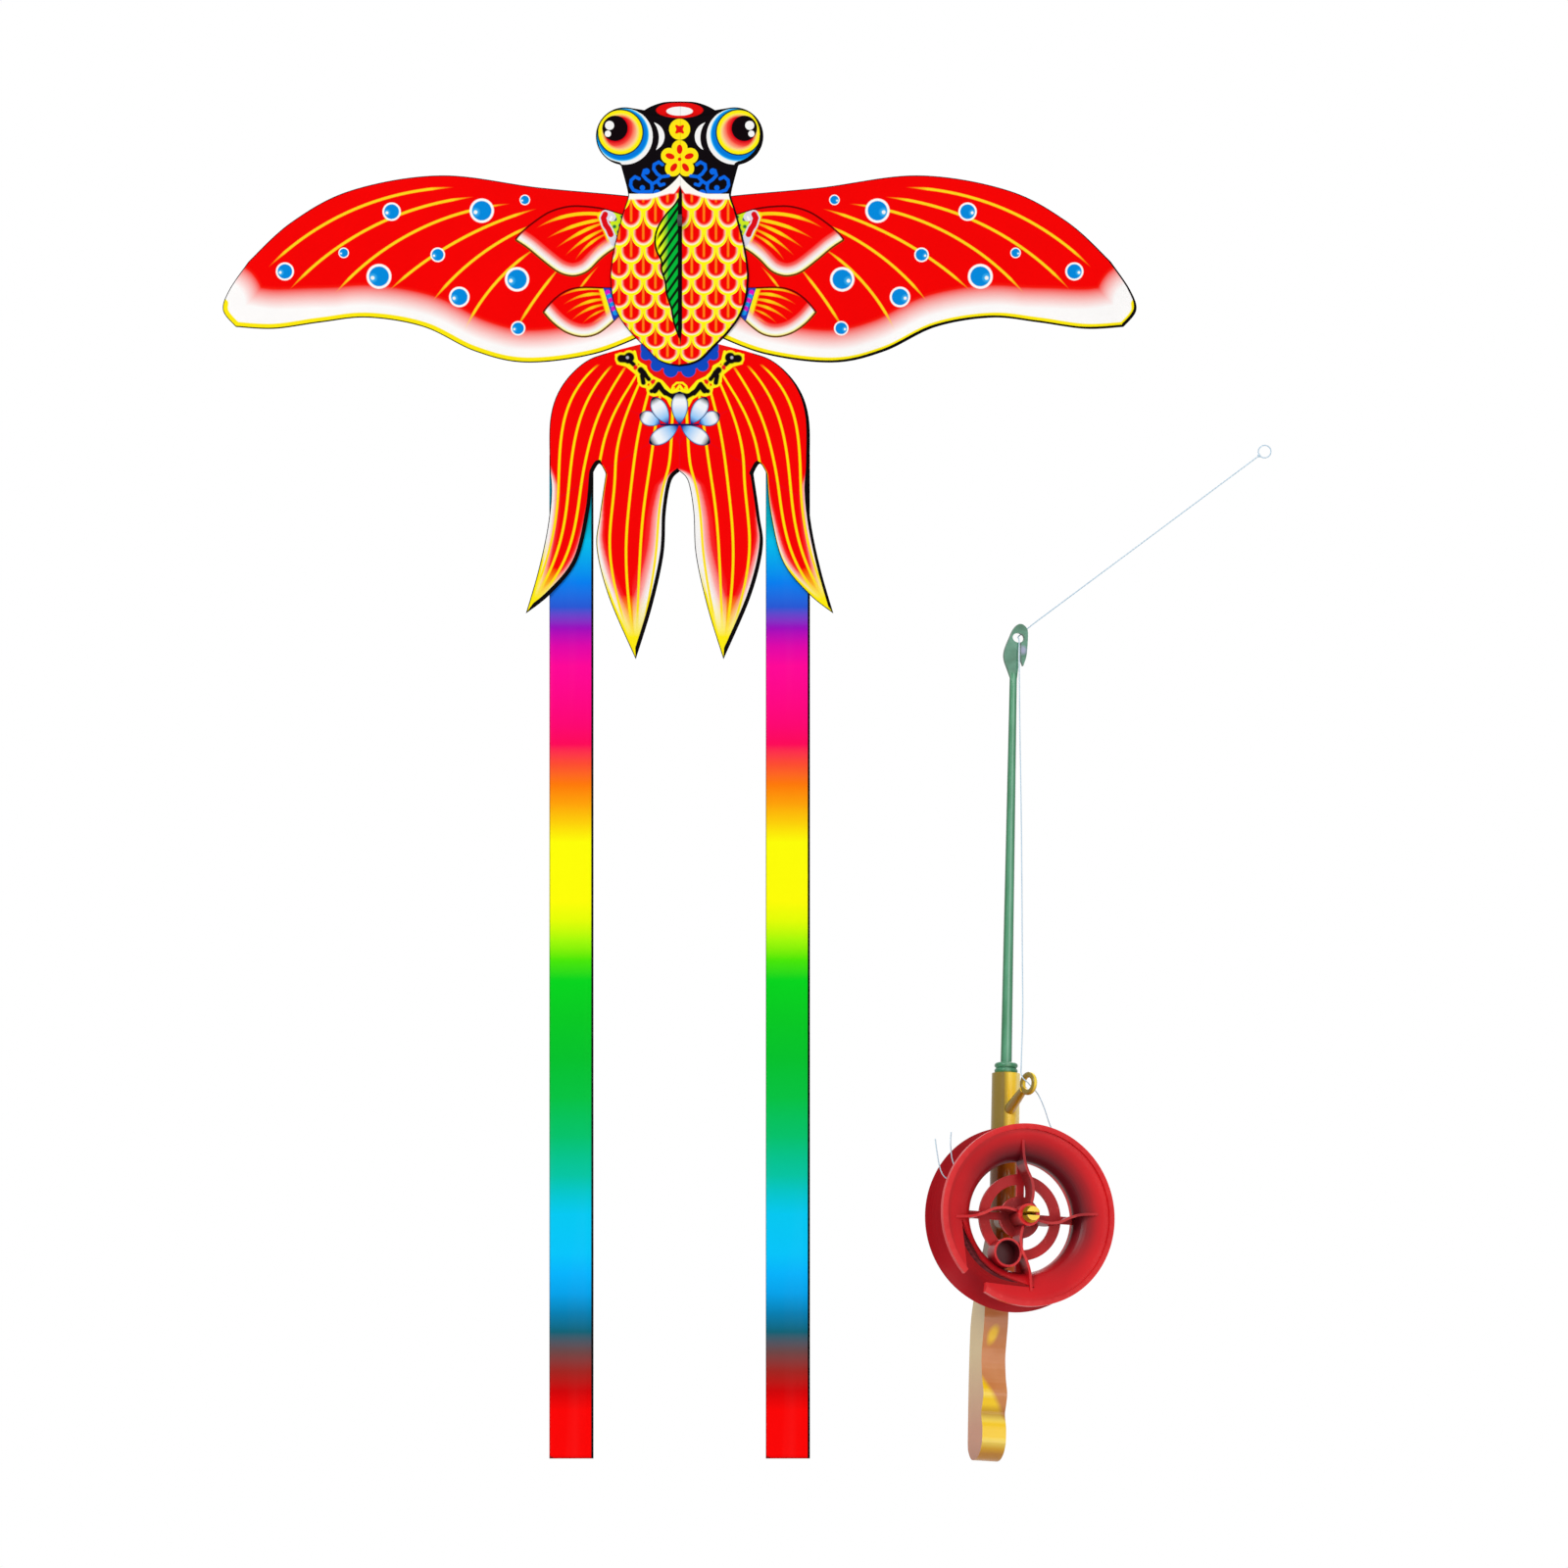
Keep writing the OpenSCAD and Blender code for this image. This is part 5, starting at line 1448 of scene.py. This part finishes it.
# %% Tapes that hold the ribbons
def tape(side):
    """A flat tape, 18 by 6 mm, with two rows of stitches and a slight wave between them."""
    u, v = np.meshgrid(np.linspace(0, 1, 46), np.linspace(0, 1, 15), indexing="ij")
    x = side * RIBBON_AT + (u - 0.5) * RIBBON_W
    z = -101.7 + 6.0 * v
    row = np.minimum(abs(v - 0.15), abs(v - 0.85)) * 6.0
    y = 3.3 + 0.06 * np.sin(u * 40) * np.sin(v * math.pi) + 0.05 * step(row, 0.0, 0.8)
    return make_piece("tape_" + WORD[side], "streamer_tape_" + WORD[side],
                      np.stack([x, y, z], -1), grid_faces(*u.shape), "kite",
                      red_tape, {"seam_mm": row, "along_mm": u * RIBBON_W},
                      facing=(0, 1, 0), wall=0.2)


tapes = [tape(side) for side in WORD]

# %% The cloth pieces are made
print("four sails and two ribbons made")

# %% [markdown]
# ## Moulded plastics
#
# The winder is three mouldings and a rod. Their shapes are right as they are in the CAD model, so
# only their finish changes. Each finish works in the winder's own frame, where the reel is round
# about one axis. Light and shade are painted into these finishes: red plastic is painted darker the
# deeper it lies in the dish, as painted shade for light that has bounced from red walls a few times
# and is dark red; the sums paint it in rather than leaving it to the render.

# %% Coordinates in the winder's frame
winder_euler = Matrix(WINDER_TURN.tolist()).to_euler("XYZ")


def winder_place(f):
    """Object place taken back through the winder's turn and shift, in millimetres: x to the
    right, y away from the front, z up from the reel's axle."""
    seen = f.node("TexCoord", output="Object")
    back = f.node("Mapping", {"vector_type": "TEXTURE"},
                  {"Vector": seen, "Location": tuple(WINDER_PLACE * MM), "Rotation": winder_euler})
    return [f.node("SeparateXYZ", None, (back,), k) * TO_MM for k in range(3)]


def winder_normal(f):
    """The surface's direction in the winder's frame: the dot product with each of its axes."""
    seen = f.node("NewGeometry", output="Normal")
    return [f.node("VectorMath", {"operation": "DOT_PRODUCT"},
                   (seen, tuple(WINDER_TURN[:, k])), "Value") for k in range(3)]


def dress(material, *names):
    """Puts a material on CAD nodes, in every slot."""
    for name in names:
        for held in nodes[name].material_slots:
            held.material = material
    print(material.name, "on", ", ".join(names))

# %% Red reel
BOSS_AT = (-7.99, -15.68)


def reel_red(name, rear=False):
    """Satin red with fine swirl marks of the mould, with painted maroon shade deep in the dish and
    in the groove, and paler along the rims' sharp edges, with pale scuffs there, where the reel
    touches the table."""
    f = Finish(name)
    x, y, z = winder_place(f)
    _, ny, nz = winder_normal(f)
    r = (x * x + z * z).math("SQRT")
    turn_at = z.math("ARCTAN2", x)
    cloud = f.noise(0.03, 4.0)
    colour = f.lay(ink(222, 26, 32), ink(204, 17, 27), cloud.ramp(0.35, 0.65))
    # Painted shade on the rear moulding: darker in the groove outside the drum, most on faces
    # turned down, and darker on its faces turned to the front, most at the top and round the hub.
    if rear:
        colour = f.lay(colour, ink(96, 22, 34), r.ramp(24.0, 30.0) * (0.45 - nz * 0.3))
        facing = ny.ramp(-0.2, -0.7) * r.ramp(25.0, 22.0)
        upper = (z * 0.7 + x * 0.3).ramp(-16.0, 10.0)
        colour = f.coats(colour,
            ((92, 20, 30), facing * (upper * 0.35 + 0.22)),
            ((72, 12, 22), facing * r.ramp(11.0, 7.0) * 0.75))
    else:
        # Painted shade on the front moulding: darker deep in the dish, most towards the upper
        # right, round the hub, on the drum wall's faces turned down, on the sides of the spokes,
        # round the boss, and inside the boss's hollow.
        lean = (z * 0.8 + x * 0.62).ramp(-16.0, 12.0)
        dish = r.ramp(34.5, 25.0) * y.ramp(-28.9, -26.4)
        wall = nz.ramp(-0.2, -0.9) * r.ramp(24.0, 20.0)
        spoke = abs(ny).ramp(0.7, 0.3) * r.ramp(25.0, 22.0) * y.ramp(-29.3, -27.5)
        boss = f.far(f.point(x, z), BOSS_AT)
        colour = f.coats(colour,
            ((84, 18, 28), dish * (lean * 0.8 + 0.14)),
            ((104, 20, 30), r.ramp(15.0, 6.0) * y.ramp(-28.4, -24.0) * 0.65),
            ((90, 18, 28), wall * 0.6),
            ((88, 12, 24), spoke * 0.55),
            ((96, 14, 26), boss.ramp(16.0, 8.0) * y.ramp(-27.0, -23.0) * 0.6),
            ((70, 8, 18), f.within(boss, 5.2, 0.4) * y.ramp(-29.5, -27.0) * 0.8))
    edge = f.node("NewGeometry", output="Pointiness").ramp(0.56, 0.7)
    colour = f.coats(colour,
        ((250, 84, 80), edge * 0.4),
        ((245, 120, 112), f.noise(0.6, 5.0).ramp(0.66, 0.76) * edge * 0.7))
    swirl = f.node("TexNoise", {"noise_dimensions": "2D"},
                   {"Vector": f.point(r * 0.9, turn_at * 0.6), "Scale": 1.0, "Detail": 3.0})
    relief = f.bump(swirl, 0.12, 0.05)
    relief = f.bump(f.noise(0.25, 2.0), 0.08, 0.15, relief)
    rough = f.noise(0.12, 3.0) * 0.16 + swirl * 0.1 + 0.22
    return f.surface(colour, rough, relief, Specular_IOR_Level=0.12 if rear else 0.22)


dress(reel_red("reel_front_red"), "reel_front")
dress(reel_red("reel_rear_red", rear=True), "reel_rear")


# %% Yellow handle
def handle_yellow():
    """Glossy, slightly clear yellow, with light and shade painted into its colour. The grip's sides
    and upper front are painted brown: painted shade on the sides, and the reel's painted shadow on
    the upper front. The tube is painted paler on faces turned right, and darker round its left
    side, on its underside and where the reel shades it."""
    f = Finish("handle_yellow")
    x, y, z = winder_place(f)
    nx, _, nz = winder_normal(f)
    cloud = f.noise(0.04, 4.0)
    gold = f.lay(ink(252, 204, 26), ink(255, 222, 60), cloud.ramp(0.35, 0.65))
    # Painted light and shade on the tube: a paler band on faces turned right, darker on the left
    # side and underside, and the reel's painted shadow behind it.
    tube = f.coats(gold,
        ((255, 244, 170), nx.ramp(0.35, 0.62) * nx.ramp(0.9, 0.62) * 0.7),
        ((118, 96, 20), nx.ramp(-0.12, -0.5) * 0.92),
        ((180, 120, 20), nz.ramp(-0.2, -0.8) * 0.6),
        ((112, 58, 16), z.ramp(31.0, 20.0) * y.ramp(-12.0, -8.0) * 0.72))
    # Painted shade on the grip's sides, deeper towards the bottom.
    side = f.coats(ink(206, 178, 124),
        ((190, 122, 84), z.ramp(-52.0, -84.0)),
        ((150, 84, 44), (z + cloud * 14.0).ramp(-80.0, -92.0) * 0.7))
    # The grip's front: brown above as the reel's painted shadow, painted light below and in a
    # painted highlight spot, with painted shade in the finger groove and on the rounded bottom.
    front = f.lay(ink(214, 146, 92), ink(198, 120, 60), cloud.ramp(0.3, 0.7))
    from_painted_highlight = f.far(f.point(x - z * 0.25, z * 0.55), (10.4, -25.0)) + cloud * 3.0
    painted_light = (z + x * 1.6 + cloud * 6.0).ramp(-66.0, -70.0).most(from_painted_highlight.ramp(4.4, 2.8) * 0.9)
    # Painted highlight bands across the finger waves.
    band = (z * 0.62 + 0.6).math("SINE").ramp(0.1, 0.9) * z.ramp(-66.0, -72.0)
    front = f.coats(front,
        ((250, 206, 24), painted_light),
        ((255, 240, 120), band * 0.5 * painted_light),
        ((150, 84, 10), z.ramp(-74.0, -77.0) * z.ramp(-81.0, -78.0) * 0.6),
        ((176, 98, 40), z.ramp(-88.0, -94.0) * 0.8))
    # Faces turned left take the sides' painted shade, and faces turned right are painted darker.
    grip = f.coats(front,
        (side, nx.ramp(-0.35, -0.75)),
        ((196, 150, 70), nx.ramp(0.35, 0.75)))
    colour = f.lay(tube, grip, z.ramp(-13.0, -16.0))
    relief = f.bump(f.noise(0.2, 3.0), 0.15, 0.2)
    relief = f.bump((z * (math.tau / 1.3)).math("SINE").ramp(-1.0, 1.0), 0.03, 0.04, relief)
    rough = f.noise(0.3, 3.0) * 0.16 + 0.12
    return f.surface(colour, rough, relief, Specular_IOR_Level=0.4)


dress(handle_yellow(), "handle")


# %% Clear green rod
def rod_green(name, deep):
    """Clear green plastic, mostly its own colour, with lengthwise flow lines, and light painted in:
    painted darker near its outline and paler in the core, as light through clear plastic looks."""
    f = Finish(name)
    x, _, z = winder_place(f)
    nx, ny, _ = winder_normal(f)
    flow = f.noise(0.3, 2.0, (1.0, 1.0, 0.03))
    body = f.coats(ink(88, 166, 126),
        ((58, 138, 94), flow.ramp(0.3, 0.7)),
        ((160, 210, 182), nx.ramp(-0.5, -0.2) * nx.ramp(0.15, -0.15) * 0.55),
        ((24, 98, 54), nx.ramp(0.25, 0.85).most(nx.ramp(-0.7, -0.98)) * 0.75),
        ((30, 92, 58), z.ramp(74.0, 62.0) * deep))
    # The tip: painted shade on faces turned to the front, and a pale lavender painted highlight
    # near the eye.
    tip = f.coats(ink(96, 156, 130),
        ((58, 118, 88), f.noise(0.16, 3.0).ramp(0.35, 0.65)),
        ((190, 182, 226), disc(f, f.point(x, z), (3.6, 237.2), 1.6, 1.6) * 0.7),
        ((40, 100, 72), ny.ramp(-0.75, -0.35)))
    colour = f.lay(body, tip, z.ramp(226.0, 229.0))
    relief = f.bump(flow, 0.2, 0.12)
    clear = f.node("BsdfTransparent", None, {"Color": (0.72, 0.93, 0.82, 1.0)})
    rough = f.noise(0.3, 2.0) * 0.12 + 0.1
    body = f.node("BsdfPrincipled", None, {"Base Color": colour, "Roughness": rough,
                                           "Normal": relief, "Specular IOR Level": 0.45})
    return f.close(f.node("MixShader", None, (0.12, body, clear)))


dress(rod_green("rod_clear_green", 0.35), "rod")
dress(rod_green("collar_clear_green", 0.2), "rod_collar")


# %% Black fittings and glass-fibre rods of the kite
def fitting_black():
    f = Finish("fitting_black")
    grain = f.noise(1.4, 4.0)
    colour = f.lay(ink(26, 25, 26), ink(48, 46, 46), grain.ramp(0.55, 0.8))
    edge = f.node("NewGeometry", output="Pointiness").ramp(0.52, 0.6)
    colour = f.lay(colour, ink(92, 90, 90), edge * 0.35)
    relief = f.bump(grain, 0.2, 0.04)
    return f.surface(colour, grain * 0.2 + 0.4, relief, Specular_IOR_Level=0.35)


def glass_fibre(name, axis):
    """Pultruded rod: pale, with fine streaks along its length. axis is 0 for x and 2 for z."""
    f = Finish(name)
    stretch = [1.0, 1.0, 1.0]
    stretch[axis] = 0.02
    streak = f.noise(2.2, 3.0, tuple(stretch))
    colour = f.coats(ink(226, 220, 198),
        ((190, 182, 152), streak.ramp(0.35, 0.7)),
        ((150, 140, 108), f.noise(0.05, 3.0).ramp(0.5, 0.8) * 0.35))
    relief = f.bump(streak, 0.2, 0.03)
    return f.surface(colour, streak * 0.2 + 0.25, relief, Specular_IOR_Level=0.4)


dress(fitting_black(), "spar_connector", "tail_clip")
dress(glass_fibre("glass_fibre_upright", 2), "spine_rod")
dress(glass_fibre("glass_fibre_level", 0), "wing_spar_left", "wing_spar_right", "tail_spreader")

# %% [markdown]
# ## Line
#
# The flying line is twisted from strands. Seen from a metre away it is a pale thread; close by, the
# twist shows as slanting ridges with painted shade between them. The wound line is made turn beside
# turn in five layers, and the turns of each layer lie in the gaps of the one below. It is the same
# pale line, painted dark maroon: painted shade and red light from the groove it lies in.

# %% Twisted line
TWIST_MM = 1.3


def twisted(name, pale, shade):
    """Slanting ridges by height and side, so they go round like a screw's thread, with painted
    shade in the grooves between them.
    """
    f = Finish(name)
    x, _, z = winder_place(f)
    nx, _, _ = winder_normal(f)
    ridge = ((z + x * 0.4) * (math.tau / TWIST_MM) + nx * 2.2).math("SINE").ramp(-1.0, 1.0)
    colour = f.coats(pale,
        (shade, (1.0 - ridge) * 0.55),
        (shade, f.noise(0.08, 2.0).ramp(0.5, 0.8) * 0.4))
    rough = f.noise(4.0, 3.0) * 0.2 + 0.55
    return f.surface(colour, rough, f.bump(ridge, 0.5, 0.05), Specular_IOR_Level=0.1)

# %% The winding
GROOVE_Y, PACK_R, LAYERS = 19.33, 24.32, 5


def winding():
    """Ring after ring round the drum: the place at angle a in ring k is R_k from the axle and
    y_k in front, plus a round section of the line's own radius. R_k grows by 0.87 line widths
    a layer, and each ring leans by half a width, as a wound line does."""
    pitch, half = LINE_D * 1.06, 1.9  # from turn to turn, and half the groove's width
    rows = []
    for layer in range(LAYERS):
        count = int(2 * half / pitch) - layer % 2
        ys = (np.arange(count) - (count - 1) / 2) * pitch
        rows += [(PACK_R + LINE_D * (0.5 + 0.87 * layer), y) for y in ys]
    rings = np.array(rows)
    a = np.radians(np.arange(0, 360, 4.0))
    t = np.radians(np.arange(0, 360, 60.0))
    lean = LINE_D * 0.5 * (a / math.tau - 0.5)
    radius = rings[:, 0][:, None, None] + LINE_D / 2 * np.cos(t)[None, None, :]
    y = (GROOVE_Y + rings[:, 1])[:, None, None] + lean[None, :, None] + LINE_D / 2 * np.sin(t)
    x, z = radius * np.cos(a)[None, :, None], radius * np.sin(a)[None, :, None]
    points = np.stack([x, -(y + 0 * x), z], -1)
    n = len(a) * len(t)
    i, j = np.meshgrid(np.arange(len(a)), np.arange(len(t)), indexing="ij")
    i2, j2 = (i + 1) % len(a), (j + 1) % len(t)
    one = np.stack([i * len(t) + j, i * len(t) + j2, i2 * len(t) + j2, i2 * len(t) + j], -1)
    faces = one.reshape(-1, 4)[None] + (np.arange(len(rings)) * n)[:, None, None]
    make_piece("wound_line", "line_pack", from_winder(points.reshape(-1, 3)),
               faces.reshape(-1, 4), "reel", wound_line_painted_shade_finish)
    wound = math.tau * rings[:, 0].sum() * MM
    print(len(rings), "turns hold", round(wound, 1), "m of line")


line_finish = twisted("twisted_line", ink(212, 232, 244), ink(158, 188, 214))
# The wound line is the pale line painted dark maroon, as painted shade deep in the red groove.
wound_line_painted_shade_finish = twisted("wound_line_painted_shade", ink(132, 52, 58), ink(78, 16, 24))
for name in ("led_line", "tag_outer", "tag_inner"):
    bpy.data.objects[name].data.materials.append(line_finish)
dress(line_finish, "line_loop")
winding()
